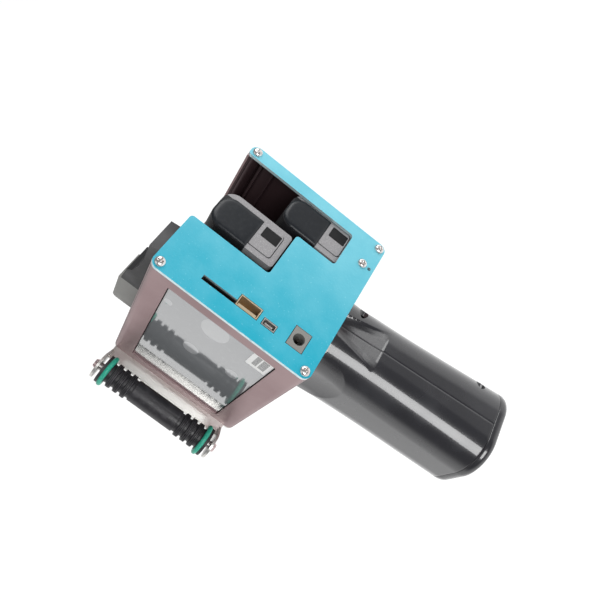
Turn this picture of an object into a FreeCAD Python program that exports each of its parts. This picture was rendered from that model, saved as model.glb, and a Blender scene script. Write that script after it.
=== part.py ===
import FreeCAD, Part

import math
import operator
import os

import Sketcher
from FreeCAD import Placement, Rotation, Vector

# A hand-held date code inkjet printer, in millimetres.
#
# The box-shaped head is an anodised aluminium extrusion with its length along Y. A painted plate
# closes its rear end (-Y) and a stainless plate closes the end that prints (+Y). A display fills
# most of the -X side. Two ink cartridges slide in from the rear. A guide roller runs along each
# side of the print face, and a two-shell grip with the batteries hangs below (-Z).
# The origin is the middle of the grip's flat base, with +Z up.

DOC = FreeCAD.newDocument("date_code_printer")
SHEET = DOC.addObject("Spreadsheet::Sheet", "Sizes")

OPERATIONS = {
    "+": operator.add,
    "-": operator.sub,
    "*": operator.mul,
    "/": operator.truediv,
}


class Size:
    """A length that carries its number and the sheet expression that it comes from."""

    def __init__(self, number, text):
        self.number = number
        self.text = text

    def __add__(self, other):
        return combine(self, "+", other)

    def __radd__(self, other):
        return combine(other, "+", self)

    def __sub__(self, other):
        return combine(self, "-", other)

    def __rsub__(self, other):
        return combine(other, "-", self)

    def __mul__(self, other):
        return combine(self, "*", other)

    def __rmul__(self, other):
        return combine(other, "*", self)

    def __truediv__(self, other):
        return combine(self, "/", other)

    def __neg__(self):
        return combine(0, "-", self)


def as_size(value):
    """Return a Size for a Size or a plain number."""
    if isinstance(value, Size):
        return value
    return Size(float(value), f"{float(value):.6f}")


def combine(left, sign, right):
    """Return the Size of one sum, difference, product or quotient."""
    left = as_size(left)
    right = as_size(right)
    number = OPERATIONS[sign](left.number, right.number)
    return Size(number, f"({left.text} {sign} {right.text})")


def dim(name, value):
    """Write one driving dimension into the sheet and return it as a Size."""
    dim.row += 1
    SHEET.set(f"A{dim.row}", name)
    SHEET.set(f"B{dim.row}", str(value))
    SHEET.setAlias(f"B{dim.row}", name)
    return Size(float(value), f"Sizes.{name}")


dim.row = 0

# ---------------------------------------------------------------- driving dimensions

# Head housing, an extrusion.
BODY_WIDTH = dim("body_width", 100)              # across, X
BODY_HEIGHT = dim("body_height", 96)             # Z
BODY_LENGTH = dim("body_length", 121.5)          # Y
BODY_REAR = dim("body_rear", -26)                # Y of the housing's rear end
BODY_WALL = dim("body_wall", 2.5)
BODY_CORNER = dim("body_corner_radius", 4.5)
SCREW_MARGIN = dim("screw_margin", 4)            # corner screw axis to the outer faces
POST_RADIUS = dim("post_radius", 3.8)            # screw posts along the corners
RAIL_DEPTH = dim("rail_depth", 1.6)
RAIL_THICK = dim("rail_thickness", 1.5)
RAIL_PITCH = dim("rail_pitch", 8)
NOTCH_LENGTH = dim("notch_length", 60)           # open top of the cartridge bay, from the rear

# Rear and front plates.
REAR_PLATE_THICK = dim("rear_plate_thickness", 2)
FRONT_PLATE_THICK = dim("front_plate_thickness", 2)
OPENING_GAP = dim("opening_gap", 0.8)            # round the first stall in the rear plate
CUT_SIDE_ROOM = dim("cut_side_room", 4.8)        # extra opening beside the first stall
PASS_GAP = dim("pass_gap", 0.5)                  # opening to the second cartridge that passes it
EARTH_X = dim("earth_screw_side", 30)
EARTH_UP = dim("earth_screw_up", 8)               # above the housing's underside
VENT_RADIUS = dim("vent_radius", 1.1)
VENT_DROP = dim("vent_drop", 5)                  # small hole below the earth screw
WING_OUT = dim("wing_out", 8.5)                  # front plate past the housing's sides
OPENING_RADIUS = dim("opening_radius", 2)
PORT_GAP = dim("port_gap", 0.35)                 # around each connector in the rear plate

# Fasteners.
SCREW_RADIUS = dim("screw_radius", 1.5)
SCREW_CLEARANCE = dim("screw_clearance", 0.15)
THREAD_BORE = dim("thread_bore_radius", 1.65)
HEAD_RADIUS = dim("head_radius", 2.9)
HEAD_HEIGHT = dim("head_height", 1.9)
HEAD_TAPER = dim("head_taper", 0.65)             # radius lost from a head's seat to its top
SCREW_LENGTH = dim("screw_length", 9)
RECESS_DEPTH = dim("recess_depth", 1.1)          # cross recess in a head
SUNK_RADIUS = dim("sunk_head_radius", 2.8)       # countersunk heads in the print face
SUNK_HEIGHT = dim("sunk_head_height", 1.5)
SUNK_GAP = dim("sunk_head_gap", 0.1)             # head below the print face
RECESS_WIDTH = dim("recess_width", 0.7)
RECESS_SPAN = dim("recess_span", 3.2)

# Display in the -X side.
WINDOW_HEIGHT = dim("window_height", 67)         # Z
WINDOW_LENGTH = dim("window_length", 106)        # Y
WINDOW_INSET = dim("window_inset", 7.4)          # from the housing's rear end
WINDOW_RADIUS = dim("window_radius", 0.8)
WINDOW_GAP = dim("window_gap", 0.5)              # glass to the window's edges
WINDOW_RISE = dim("window_rise", 0.7)            # window centre above the housing's centre
GLASS_RECESS = dim("glass_recess", 1.4)
GLASS_THICK = dim("glass_thickness", 1.1)
PANEL_THICK = dim("panel_thickness", 3.4)
BEZEL_LAND = dim("bezel_land", 3)
BEZEL_THICK = dim("bezel_thickness", 4.5)

# Boards and connectors.
BOARD_THICK = dim("board_thickness", 1.6)
BOARD_SIDE_GAP = dim("board_side_gap", 6.5)      # board's edges to the housing's floor and top
BOARD_END_GAP = dim("board_end_gap", 2)
BOARD_FRONT_GAP = dim("board_front_gap", 13.5)
STANDOFF_RADIUS = dim("standoff_radius", 2.4)
STANDOFF_LENGTH = dim("standoff_length", 1.9)
STANDOFF_INSET = dim("standoff_inset", 3)
DRIVER_GAP = dim("driver_gap", 9)                # driver board's face to the first stall
DRIVER_BOARD_DROP = dim("driver_board_drop", 12)  # driver board's edges inside the main board's
JACK_UP = dim("jack_up", 15)                     # connectors' middles above the underside
JACK_HEIGHT = dim("jack_size_up", 9.6)
JACK_WIDTH = dim("jack_size_across", 11.6)
JACK_DEPTH = dim("jack_depth", 14)
JACK_BORE = dim("jack_bore_radius", 3.3)
JACK_BORE_DEPTH = dim("jack_bore_depth", 9.5)
JACK_PIN_RADIUS = dim("jack_pin_radius", 1)
MINI_UP = dim("mini_usb_up", 31.5)
MINI_HEIGHT = dim("mini_usb_size_up", 7.8)
MINI_WIDTH = dim("mini_usb_size_across", 4)
USB_UP = dim("usb_up", 44.8)
USB_HEIGHT = dim("usb_size_up", 13)
USB_WIDTH = dim("usb_size_across", 6.6)
USB_DEPTH = dim("usb_depth", 14)
USB_SKIN = dim("usb_skin", 0.5)
TONGUE_THICK = dim("tongue_thickness", 1.8)
CARD_UP = dim("card_slot_up", 61.6)
CARD_HEIGHT = dim("card_slot_size_up", 20)
CARD_WIDTH = dim("card_slot_size_across", 2.2)
CARD_DEPTH = dim("card_depth", 22)
CARD_SKIN = dim("card_skin", 0.5)

# Cartridge stalls, cartridges and the nozzle windows.
STALL_WIDTH = dim("stall_width", 24.4)           # X
STALL_HEIGHT = dim("stall_height", 43)           # Z
STALL_WALL = dim("stall_wall", 3.4)
STALL_RADIUS = dim("stall_radius", 8)            # rounded upper corners
STALL_SPACING = dim("stall_spacing", 4.5)        # X gap between the two stalls
STALL_SIDE_GAP = dim("stall_side_gap", 0.5)      # second stall to the housing's rails
STALL_DROP = dim("stall_drop", 30)               # Z step down from the first to the second
STALL_TOP_GAP = dim("stall_top_gap", 5.5)        # first stall's top below the housing's top
STALL_SET_BACK = dim("stall_set_back", 1)        # rim behind the housing's rear end
TANK_GAP = dim("tank_gap", 0.4)                  # cartridge to stall, all round
LID_THICK = dim("lid_thickness", 5)
LID_SET_BACK = dim("lid_set_back", 1.2)          # lid below the stall's rim
SNOUT_WIDTH = dim("snout_width", 12)
SNOUT_HEIGHT = dim("snout_height", 22)
SNOUT_LENGTH = dim("snout_length", 7.5)
SNOUT_GAP = dim("snout_gap", 0.6)
NOZZLE_THICK = dim("nozzle_plate_thickness", 0.4)
NOZZLE_RECESS = dim("nozzle_recess", 0.6)        # nozzle face behind the print face
CONTACT_THICK = dim("contact_thickness", 0.5)

# Guide rollers.
ROLLER_OUT = dim("roller_out", 18.4)             # axis outside the housing's side face
ROLLER_BACK = dim("roller_back", 9)              # axis behind the print face
ROLLER_RISE = dim("roller_rise", 2)              # roller's middle above the housing's centre
RING_SPACING = dim("ring_spacing", 73)           # between the two rings of one roller
RING_RADIUS = dim("ring_radius", 10.4)           # outer
RING_WIRE = dim("ring_wire_radius", 1.5)
DISC_RADIUS = dim("disc_radius", 9.4)
DISC_THICK = dim("disc_thickness", 1.8)
SLEEVE_RADIUS = dim("sleeve_radius", 7.25)
RIB_RADIUS = dim("rib_radius", 8.2)
VALLEY_RADIUS = dim("valley_radius", 6.4)
RIB_PITCH = dim("rib_pitch", 5.3)
RIB_WIDTH = dim("rib_width", 3.4)
RIB_SLOPE = dim("rib_slope", 0.85)               # length of each sloping side of a rib
RIB_COUNT = 3                                    # at each end of a sleeve
SMOOTH_LENGTH = dim("smooth_length", 34)
CORE_RADIUS = dim("core_radius", 4.6)
AXLE_RADIUS = dim("axle_radius", 2.5)
AXLE_RUNNING_GAP = dim("axle_running_gap", 0.06)
EAR_END_GAP = dim("ear_end_gap", 2.45)           # roller's end disc to the ear
EAR_THICK = dim("ear_thickness", 1.5)
EAR_RADIUS = dim("ear_radius", 8.6)
EAR_BODY_GAP = dim("ear_body_gap", 1)
BOLT_RADIUS = dim("bolt_radius", 3.6)
BOLT_HEIGHT = dim("bolt_height", 2.4)
BOLT_TOP_RADIUS = dim("bolt_top_radius", 2.5)
BOLT_SOCKET = dim("bolt_socket_radius", 1.5)
ENCODER_RADIUS = dim("encoder_radius", 6)
ENCODER_THICK = dim("encoder_thickness", 1)
PICKUP_LENGTH = dim("pickup_length", 12)
PICKUP_WIDTH = dim("pickup_width", 9)
PICKUP_THICK = dim("pickup_thickness", 5)

# Product sensor on top.
SENSOR_X = dim("sensor_side", -34)               # its -X face
SENSOR_WIDTH = dim("sensor_width", 19)
SENSOR_REAR = dim("sensor_rear", -14.5)          # Y
SENSOR_LOW = dim("sensor_low_height", 7.6)
SENSOR_NECK_END = dim("sensor_neck_end", 6)      # Y where the low rear part starts to rise
SENSOR_RISE_END = dim("sensor_rise_end", 23.5)   # Y
SENSOR_RISE = dim("sensor_rise_height", 11.4)
SENSOR_LIP = dim("sensor_lip_height", 14.4)
SENSOR_HEAD_Y = dim("sensor_head_start", 40)
SENSOR_HEAD_LENGTH = dim("sensor_head_length", 28)
SENSOR_HEAD_HEIGHT = dim("sensor_head_height", 17.4)
SENSOR_RADIUS = dim("sensor_radius", 3)
LENS_RADIUS = dim("lens_radius", 4.5)
LENS_DEPTH = dim("lens_depth", 2)

# Grip.
GRIP_LENGTH = dim("grip_length", 110)            # base to the housing
GRIP_SLOPE = dim("grip_slope", 0.1727)           # forward for each unit up
GRIP_WALL = dim("grip_wall", 2.6)
NECK_HALF_X = dim("neck_half_width", 26)
NECK_HALF_Y = dim("neck_half_depth", 31)
WAIST_HALF_X = dim("waist_half_width", 26)
WAIST_HALF_Y = dim("waist_half_depth", 29)
BASE_HALF_X = dim("base_half_width", 28.6)
BASE_HALF_Y = dim("base_half_depth", 27)
GRIP_CORNER = dim("grip_corner_radius", 20)
SWELL_UP = dim("swell_up", 33)                   # height of the section between base and waist
WAIST_DROP = dim("waist_drop", 38.5)             # waist below the housing
CAP_HEIGHT = dim("cap_height", 6)
CAP_FLOOR = dim("cap_floor", 3)
CAP_LIP = dim("cap_lip", 5)
CAP_LIP_GAP = dim("cap_lip_gap", 0.2)
BOSS_RADIUS = dim("boss_radius", 3.2)
BOSS_INSET = dim("boss_inset", 4.6)              # boss axis inside the grip's surface
HIGH_SCREW_DROP = dim("high_screw_drop", 12)     # upper rear screw below the housing
LOW_SCREW_UP = dim("low_screw_up", 18.5)         # lower rear screw above the base
FRONT_SCREW_GAP = dim("front_screw_gap", 19)     # front screw below the trigger's lower end
GRIP_SCREW_HEAD = dim("grip_screw_head_radius", 2.4)
GRIP_RECESS_GAP = dim("grip_recess_gap", 0.5)
GRIP_SCREW_LENGTH = dim("grip_screw_length", 14)
MOUNT_THICK = dim("mount_plate_thickness", 2)
MOUNT_X = dim("mount_screw_half_spacing_x", 17)
MOUNT_Y = dim("mount_screw_half_spacing_y", 20)
WIRE_HOLE = dim("wire_hole_radius", 8.5)         # for the wires from the grip into the head

# Trigger.
TRIGGER_DROP = dim("trigger_drop", 24)           # trigger's middle below the housing
TRIGGER_HEIGHT = dim("trigger_height", 24)
TRIGGER_WIDTH = dim("trigger_width", 15)
TRIGGER_PROUD = dim("trigger_proud", 5)
TRIGGER_TRAVEL = dim("trigger_travel", 4)
TRIGGER_DEPTH = dim("trigger_depth", 8.8)          # inside the shell
TRIGGER_GAP = dim("trigger_gap", 0.4)
FLANGE_OUT = dim("flange_out", 2)
FLANGE_THICK = dim("flange_thickness", 1.6)
TRIGGER_SWITCH = dim("trigger_switch_size", 6)
CARRIER_THICK = dim("carrier_thickness", 1.6)    # plate that holds the switch and the spring
SPRING_RADIUS = dim("spring_radius", 2.2)
SPRING_WIRE = dim("spring_wire_radius", 0.35)
SPRING_PITCH = dim("spring_pitch", 2)
SPRING_UP = dim("spring_up", 10)                 # spring's axis above the trigger's middle
SPRING_GAP = dim("spring_gap", 0.1)

# Power slider in the underside.
POWER_X = dim("power_side", -22)
POWER_Y = dim("power_forward", -18.5)
POWER_TRAVEL = dim("power_travel", 3)
KNOB_LENGTH = dim("knob_length", 5)
KNOB_WIDTH = dim("knob_width", 3.4)
KNOB_PROUD = dim("knob_proud", 2.6)
POWER_BODY_LENGTH = dim("power_body_length", 13)
POWER_BODY_WIDTH = dim("power_body_width", 7)
POWER_BODY_HEIGHT = dim("power_body_height", 5.2)
KNOB_GAP = dim("knob_gap", 0.4)

# Batteries.
CELL_RADIUS = dim("cell_radius", 9.1)
CELL_ROOM = dim("cell_room", 33)                 # from the cells' upper end to the housing
CELL_GAP = dim("cell_gap", 0.2)
CELL_START = dim("cell_start", 15)               # Z of the pack's lower end
CELL_PLATE = dim("cell_plate_thickness", 1.6)

# ---------------------------------------------------------------- places worked out from them

BODY_BOTTOM = GRIP_LENGTH
BODY_TOP = BODY_BOTTOM + BODY_HEIGHT
BODY_MIDDLE = BODY_BOTTOM + BODY_HEIGHT / 2
BODY_SIDE = BODY_WIDTH / 2
BODY_FRONT = BODY_REAR + BODY_LENGTH
PLATE_REAR = BODY_REAR - REAR_PLATE_THICK
PRINT_FACE = BODY_FRONT + FRONT_PLATE_THICK
SCREW_X = BODY_SIDE - SCREW_MARGIN
SCREW_TOP = BODY_TOP - SCREW_MARGIN
SCREW_BOTTOM = BODY_BOTTOM + SCREW_MARGIN
WINDOW_MIDDLE = BODY_MIDDLE + WINDOW_RISE
WINDOW_START = BODY_REAR + WINDOW_INSET
INNER_SIDE = BODY_SIDE - BODY_WALL
GLASS_FACE = -BODY_SIDE + GLASS_RECESS
PANEL_START = GLASS_FACE + GLASS_THICK
BOARD_X = -INNER_SIDE + BEZEL_THICK + STANDOFF_LENGTH
BOARD_FACE = BOARD_X + BOARD_THICK
BOARD_REAR = BODY_REAR + BOARD_END_GAP
BOARD_HEIGHT = BODY_HEIGHT - 2 * BODY_WALL - 2 * BOARD_SIDE_GAP
BOARD_LENGTH = BODY_LENGTH - BOARD_END_GAP - BOARD_FRONT_GAP
STALL_TOP = BODY_TOP - STALL_TOP_GAP
STALL_PITCH = STALL_WIDTH + STALL_SPACING
STALL_X = INNER_SIDE - RAIL_DEPTH - STALL_SIDE_GAP - STALL_WIDTH / 2 - STALL_PITCH
DRIVER_BOARD_X = STALL_X - STALL_WIDTH / 2 - CONTACT_THICK - DRIVER_GAP - BOARD_THICK
STALL_REAR = BODY_REAR + STALL_SET_BACK
NOZZLE_FACE = PRINT_FACE - NOZZLE_RECESS
ROLLER_X = BODY_SIDE + ROLLER_OUT
ROLLER_Y = PRINT_FACE - ROLLER_BACK
ROLLER_MIDDLE = BODY_MIDDLE + ROLLER_RISE
EARTH_Z = BODY_BOTTOM + EARTH_UP
JACK_Z = BODY_BOTTOM + JACK_UP
MINI_Z = BODY_BOTTOM + MINI_UP
USB_Z = BODY_BOTTOM + USB_UP
CARD_Z = BODY_BOTTOM + CARD_UP
EAR_SPACING = RING_SPACING + 2 * (RING_WIRE + DISC_THICK + EAR_END_GAP + EAR_THICK)
WAIST_UP = GRIP_LENGTH - WAIST_DROP
TRIGGER_UP = GRIP_LENGTH - TRIGGER_DROP
CELL_LENGTH = GRIP_LENGTH - CELL_START - CELL_ROOM
GRIP_LEAN = GRIP_SLOPE * GRIP_LENGTH              # neck further forward than the base
HIGH_SCREW_UP = GRIP_LENGTH - HIGH_SCREW_DROP
FRONT_SCREW_UP = TRIGGER_UP - TRIGGER_HEIGHT / 2 - FRONT_SCREW_GAP
BEYOND = 2 * (BASE_HALF_Y + GRIP_LEAN)           # clear of the grip on every side, for cutting slabs

STALLS = (
    ("cartridge_1", STALL_X, STALL_TOP - STALL_HEIGHT / 2),
    ("cartridge_2", STALL_X + STALL_PITCH, STALL_TOP - STALL_DROP - STALL_HEIGHT / 2),
)
SIDES = (("left", -1), ("right", 1))

NODES = []


# ---------------------------------------------------------------- small helpers

def bind(item, path, value):
    """Tie one property to a Size, and give it the Size's number."""
    value = as_size(value)
    item.setExpression(path, value.text)


def place(item, x=0, y=0, z=0):
    """Bind an item's position."""
    bind(item, "Placement.Base.x", x)
    bind(item, "Placement.Base.y", y)
    bind(item, "Placement.Base.z", z)


def new_label(kind):
    """Return an unused working label for a piece that is not itself a node."""
    new_label.count += 1
    return f"work_{kind}_{new_label.count}"


new_label.count = 0


def box(low, high):
    """A box between two corners."""
    item = DOC.addObject("Part::Box", new_label("box"))
    for axis, side in enumerate(("Length", "Width", "Height")):
        bind(item, side, as_size(high[axis]) - low[axis])
    place(item, *low)
    return item


TURNS = {
    "X": Rotation(Vector(0, 1, 0), 90),
    "Y": Rotation(Vector(1, 0, 0), -90),
    "Z": Rotation(),
}


def rod(radius, length, start, axis="Z"):
    """A round rod from its start point along +X, +Y or +Z."""
    item = DOC.addObject("Part::Cylinder", new_label("rod"))
    item.Placement = Placement(Vector(), TURNS[axis])
    bind(item, "Radius", radius)
    bind(item, "Height", length)
    place(item, *start)
    return item


def cone(radius_start, radius_end, length, start, axis="Z"):
    """A round taper from its start point along +X, +Y or +Z."""
    item = DOC.addObject("Part::Cone", new_label("cone"))
    item.Placement = Placement(Vector(), TURNS[axis])
    bind(item, "Radius1", radius_start)
    bind(item, "Radius2", radius_end)
    bind(item, "Height", length)
    place(item, *start)
    return item


def ring(radius, wire, centre):
    """A torus about a vertical axis."""
    item = DOC.addObject("Part::Torus", new_label("ring"))
    bind(item, "Radius1", radius)
    bind(item, "Radius2", wire)
    place(item, *centre)
    return item


def join(*items):
    """One object from several, fused."""
    if len(items) == 1:
        return items[0]
    result = DOC.addObject("Part::MultiFuse", new_label("join"))
    result.Shapes = list(items)
    return result


def group(*items):
    """One object that holds several separate solids."""
    result = DOC.addObject("Part::Compound", new_label("group"))
    result.Links = list(items)
    return result


def cut(base, *tools):
    """The base with the tools taken away."""
    result = DOC.addObject("Part::Cut", new_label("cut"))
    result.Base = base
    result.Tool = join(*tools)
    return result


def common(base, tool):
    """What two objects share."""
    result = DOC.addObject("Part::Common", new_label("common"))
    result.Base = base
    result.Tool = tool
    return result


def node(name, item):
    """Name an object as one sub-part of the printer."""
    item.Label = name
    NODES.append(item)
    return item


# ---------------------------------------------------------------- sketches and their features

def new_body():
    """An empty PartDesign body."""
    return DOC.addObject("PartDesign::Body", new_label("body"))


def origin_plane(body, role):
    """The body's own origin plane with that role."""
    for feature in body.Origin.OriginFeatures:
        if feature.Role == role:
            return feature
    raise ValueError(f"no origin plane {role}")


def new_sketch(body, plane, offset=0):
    """A sketch on one of the body's origin planes, moved along the plane's normal."""
    sketch = body.newObject("Sketcher::SketchObject", new_label("sketch"))
    sketch.AttachmentSupport = (origin_plane(body, plane), [""])
    sketch.MapMode = "FlatFace"
    bind(sketch, "AttachmentOffset.Base.z", offset)
    return sketch


def pin_down(sketch, geometry, point, across, up):
    """Fix one point of a sketch at its distances from the sketch's origin."""
    for kind, axis, value in (("DistanceX", -2, across), ("DistanceY", -1, up)):
        value = as_size(value)
        if abs(value.number) < 1e-9:
            sketch.addConstraint(Sketcher.Constraint("PointOnObject", geometry, point, axis))
            continue
        row = sketch.addConstraint(Sketcher.Constraint(kind, -1, 1, geometry, point, value.number))
        sketch.setExpression(f"Constraints[{row}]", value.text)


def towards(start, end):
    """Unit step, along one sketch axis, from one corner to the next."""
    across = as_size(end[0]).number - as_size(start[0]).number
    up = as_size(end[1]).number - as_size(start[1]).number
    if abs(across) > abs(up):
        return (math.copysign(1, across), 0)
    return (0, math.copysign(1, up))


def draw_outline(sketch, corners):
    """Draw a closed outline from corners (across, up) or, where it is rounded, (across, up, radius).

    The sides beside a rounded corner are parallel to the sketch's axes.
    """
    stops = []
    for index, corner in enumerate(corners):
        if len(corner) == 2:
            stops.append((corner, corner))
            continue
        across, up, radius = corner
        back = towards(corner, corners[index - 1])
        ahead = towards(corner, corners[(index + 1) % len(corners)])
        entry = (across + back[0] * radius, up + back[1] * radius)
        leave = (across + ahead[0] * radius, up + ahead[1] * radius)
        stops.append((entry, leave))

    def point(place_on_sheet):
        return Vector(as_size(place_on_sheet[0]).number, as_size(place_on_sheet[1]).number, 0)

    lines = []
    for index in range(len(corners)):
        start = stops[index][1]
        end = stops[(index + 1) % len(corners)][0]
        line = sketch.addGeometry(Part.LineSegment(point(start), point(end)), False)
        pin_down(sketch, line, 1, *start)
        if len(corners[(index + 1) % len(corners)]) == 3:
            pin_down(sketch, line, 2, *end)
        lines.append(line)

    for index, corner in enumerate(corners):
        before = lines[index - 1]
        after = lines[index]
        if len(corner) == 2:
            sketch.addConstraint(Sketcher.Constraint("Coincident", before, 2, after, 1))
            continue
        radius = as_size(corner[2])
        entry = point(stops[index][0])
        leave = point(stops[index][1])
        middle = entry + leave - point(corner)
        first = math.atan2(entry.y - middle.y, entry.x - middle.x)
        last = math.atan2(leave.y - middle.y, leave.x - middle.x)
        turn = (last - first) % (2 * math.pi)
        forward = turn < math.pi
        angles = (first, last) if forward else (last, first)
        circle = Part.Circle(middle, Vector(0, 0, 1), radius.number)
        arc = sketch.addGeometry(Part.ArcOfCircle(circle, *angles), False)
        ends = (1, 2) if forward else (2, 1)
        sketch.addConstraint(Sketcher.Constraint("Coincident", before, 2, arc, ends[0]))
        sketch.addConstraint(Sketcher.Constraint("Coincident", arc, ends[1], after, 1))
        row = sketch.addConstraint(Sketcher.Constraint("Radius", arc, radius.number))
        sketch.setExpression(f"Constraints[{row}]", radius.text)


def draw_rectangle(sketch, low, high, radius=None):
    """Draw a rectangle, rounded if a radius is given."""
    corners = [(low[0], low[1]), (high[0], low[1]), (high[0], high[1]), (low[0], high[1])]
    if radius is not None:
        corners = [(across, up, radius) for across, up in corners]
    draw_outline(sketch, corners)


def draw_circle(sketch, across, up, radius):
    """Draw a circle."""
    radius = as_size(radius)
    centre = Vector(as_size(across).number, as_size(up).number, 0)
    circle = sketch.addGeometry(Part.Circle(centre, Vector(0, 0, 1), radius.number), False)
    pin_down(sketch, circle, 3, across, up)
    row = sketch.addConstraint(Sketcher.Constraint("Radius", circle, radius.number))
    sketch.setExpression(f"Constraints[{row}]", radius.text)


def pad(body, sketch, length, backwards=False):
    """Grow the sketch into a solid, along its plane's normal or against it."""
    feature = body.newObject("PartDesign::Pad", new_label("pad"))
    feature.Profile = sketch
    feature.Reversed = backwards
    bind(feature, "Length", length)
    DOC.recompute()
    return feature


def pocket(body, sketch, length, along_normal=False):
    """Sink the sketch into the solid, against its plane's normal or along it."""
    before = body.Shape.Volume
    feature = body.newObject("PartDesign::Pocket", new_label("pocket"))
    feature.Profile = sketch
    feature.Reversed = along_normal
    bind(feature, "Length", length)
    DOC.recompute()
    if body.Shape.Volume > before - 1e-6:
        raise ValueError(f"{body.Name}: {feature.Name} cuts nothing")
    return feature


def corner_places():
    """The four corner screws, in the plane of the plates."""
    return [(x, z) for x in (-SCREW_X, SCREW_X) for z in (SCREW_BOTTOM, SCREW_TOP)]


# ---------------------------------------------------------------- head housing

def stepped_opening():
    """Corners of the L-shaped opening: round the first stall, and just past the second cartridge."""
    first, second = STALLS
    rim = STALL_WALL + TANK_GAP - PASS_GAP
    left = first[1] - STALL_WIDTH / 2 - OPENING_GAP - CUT_SIDE_ROOM
    right = second[1] + STALL_WIDTH / 2 - rim
    step = first[1] + STALL_WIDTH / 2 + OPENING_GAP
    floor = first[2] - STALL_HEIGHT / 2 - OPENING_GAP
    lower_floor = second[2] - STALL_HEIGHT / 2 + rim
    return left, right, step, floor, lower_floor


def make_housing():
    """Extruded body: walls, screw posts, board rails, display window, open top and floor holes."""
    body = new_body()
    outer = new_sketch(body, "XZ_Plane", -BODY_REAR)
    draw_rectangle(outer, (-BODY_SIDE, BODY_BOTTOM), (BODY_SIDE, BODY_TOP), BODY_CORNER)
    pad(body, outer, BODY_LENGTH, backwards=True)

    hollow = new_sketch(body, "XZ_Plane", -BODY_REAR)
    inner_low = (-INNER_SIDE, BODY_BOTTOM + BODY_WALL)
    inner_high = (INNER_SIDE, BODY_TOP - BODY_WALL)
    draw_rectangle(hollow, inner_low, inner_high, BODY_CORNER - BODY_WALL)
    pocket(body, hollow, BODY_LENGTH, along_normal=False)

    for x, z in corner_places():
        post = new_sketch(body, "XZ_Plane", -BODY_REAR)
        draw_circle(post, x, z, POST_RADIUS)
        pad(body, post, BODY_LENGTH, backwards=True)

    for step in range(4):
        if step < 2:
            low = BODY_TOP - BODY_WALL - (step + 1) * RAIL_PITCH
        else:
            low = BODY_BOTTOM + BODY_WALL + (step - 1) * RAIL_PITCH
        rail = new_sketch(body, "XZ_Plane", -BODY_REAR)
        draw_rectangle(rail, (INNER_SIDE - RAIL_DEPTH, low), (INNER_SIDE + BODY_WALL / 2, low + RAIL_THICK))
        pad(body, rail, BODY_LENGTH, backwards=True)

    cores = new_sketch(body, "XZ_Plane", -BODY_REAR)
    for x, z in corner_places():
        draw_circle(cores, x, z, THREAD_BORE)
    pocket(body, cores, BODY_LENGTH)

    window = new_sketch(body, "YZ_Plane", -BODY_SIDE)
    low = (WINDOW_START, WINDOW_MIDDLE - WINDOW_HEIGHT / 2)
    high = (WINDOW_START + WINDOW_LENGTH, WINDOW_MIDDLE + WINDOW_HEIGHT / 2)
    draw_rectangle(window, low, high, WINDOW_RADIUS)
    pocket(body, window, BODY_WALL, along_normal=True)

    left, right, _step, _floor, _lower_floor = stepped_opening()
    notch = new_sketch(body, "XY_Plane", BODY_TOP)
    draw_rectangle(notch, (left, BODY_REAR), (right, BODY_REAR + NOTCH_LENGTH))
    pocket(body, notch, BODY_WALL)

    slot = new_sketch(body, "XY_Plane", BODY_BOTTOM + BODY_WALL)
    half_length = KNOB_LENGTH / 2 + KNOB_GAP
    half_width = KNOB_WIDTH / 2 + KNOB_GAP
    low = (POWER_X - half_length, POWER_Y - half_width)
    high = (POWER_X + half_length + POWER_TRAVEL, POWER_Y + half_width)
    draw_rectangle(slot, low, high)
    pocket(body, slot, BODY_WALL)

    floor_holes = new_sketch(body, "XY_Plane", BODY_BOTTOM + BODY_WALL)
    for x, y in mount_places():
        draw_circle(floor_holes, x, y, SCREW_RADIUS + SCREW_CLEARANCE)
    draw_circle(floor_holes, 0, GRIP_LEAN, WIRE_HOLE)
    pocket(body, floor_holes, BODY_WALL)
    node("housing", body)


def mount_places():
    """The four screws that hold the grip."""
    return [(x, GRIP_LEAN + y) for x in (-MOUNT_X, MOUNT_X) for y in (-MOUNT_Y, MOUNT_Y)]


# ---------------------------------------------------------------- end plates

def port_sizes():
    """Height, middle height, and X range of each connector's hole in the rear plate."""
    return (
        (JACK_Z, JACK_HEIGHT, BOARD_FACE, BOARD_FACE + JACK_WIDTH),
        (MINI_Z, MINI_HEIGHT, BOARD_FACE, BOARD_FACE + MINI_WIDTH),
        (USB_Z, USB_HEIGHT, BOARD_FACE, BOARD_FACE + USB_WIDTH),
        (CARD_Z, CARD_HEIGHT, BOARD_FACE, BOARD_FACE + CARD_WIDTH),
    )


def make_rear_plate():
    """Painted plate with the stepped cartridge opening and the connector holes."""
    left, right, step, floor, lower_floor = stepped_opening()
    body = new_body()
    sheet = new_sketch(body, "XZ_Plane", -PLATE_REAR)
    draw_outline(sheet, [
        (-BODY_SIDE, BODY_BOTTOM, BODY_CORNER),
        (BODY_SIDE, BODY_BOTTOM, BODY_CORNER),
        (BODY_SIDE, BODY_TOP, BODY_CORNER),
        (right, BODY_TOP, OPENING_RADIUS),
        (right, lower_floor, OPENING_RADIUS),
        (step, lower_floor, OPENING_RADIUS),
        (step, floor, OPENING_RADIUS),
        (left, floor, OPENING_RADIUS),
        (left, BODY_TOP, OPENING_RADIUS),
        (-BODY_SIDE, BODY_TOP, BODY_CORNER),
    ])
    pad(body, sheet, REAR_PLATE_THICK, backwards=True)

    ports = new_sketch(body, "XZ_Plane", -PLATE_REAR)
    for middle, height, near, far in port_sizes():
        low = (near - PORT_GAP, middle - height / 2 - PORT_GAP)
        high = (far + PORT_GAP, middle + height / 2 + PORT_GAP)
        draw_rectangle(ports, low, high)
    for x, z in corner_places() + [(EARTH_X, EARTH_Z)]:
        draw_circle(ports, x, z, SCREW_RADIUS + SCREW_CLEARANCE)
    draw_circle(ports, EARTH_X, EARTH_Z - VENT_DROP, VENT_RADIUS)
    pocket(body, ports, REAR_PLATE_THICK)
    node("rear_plate", body)


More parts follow.
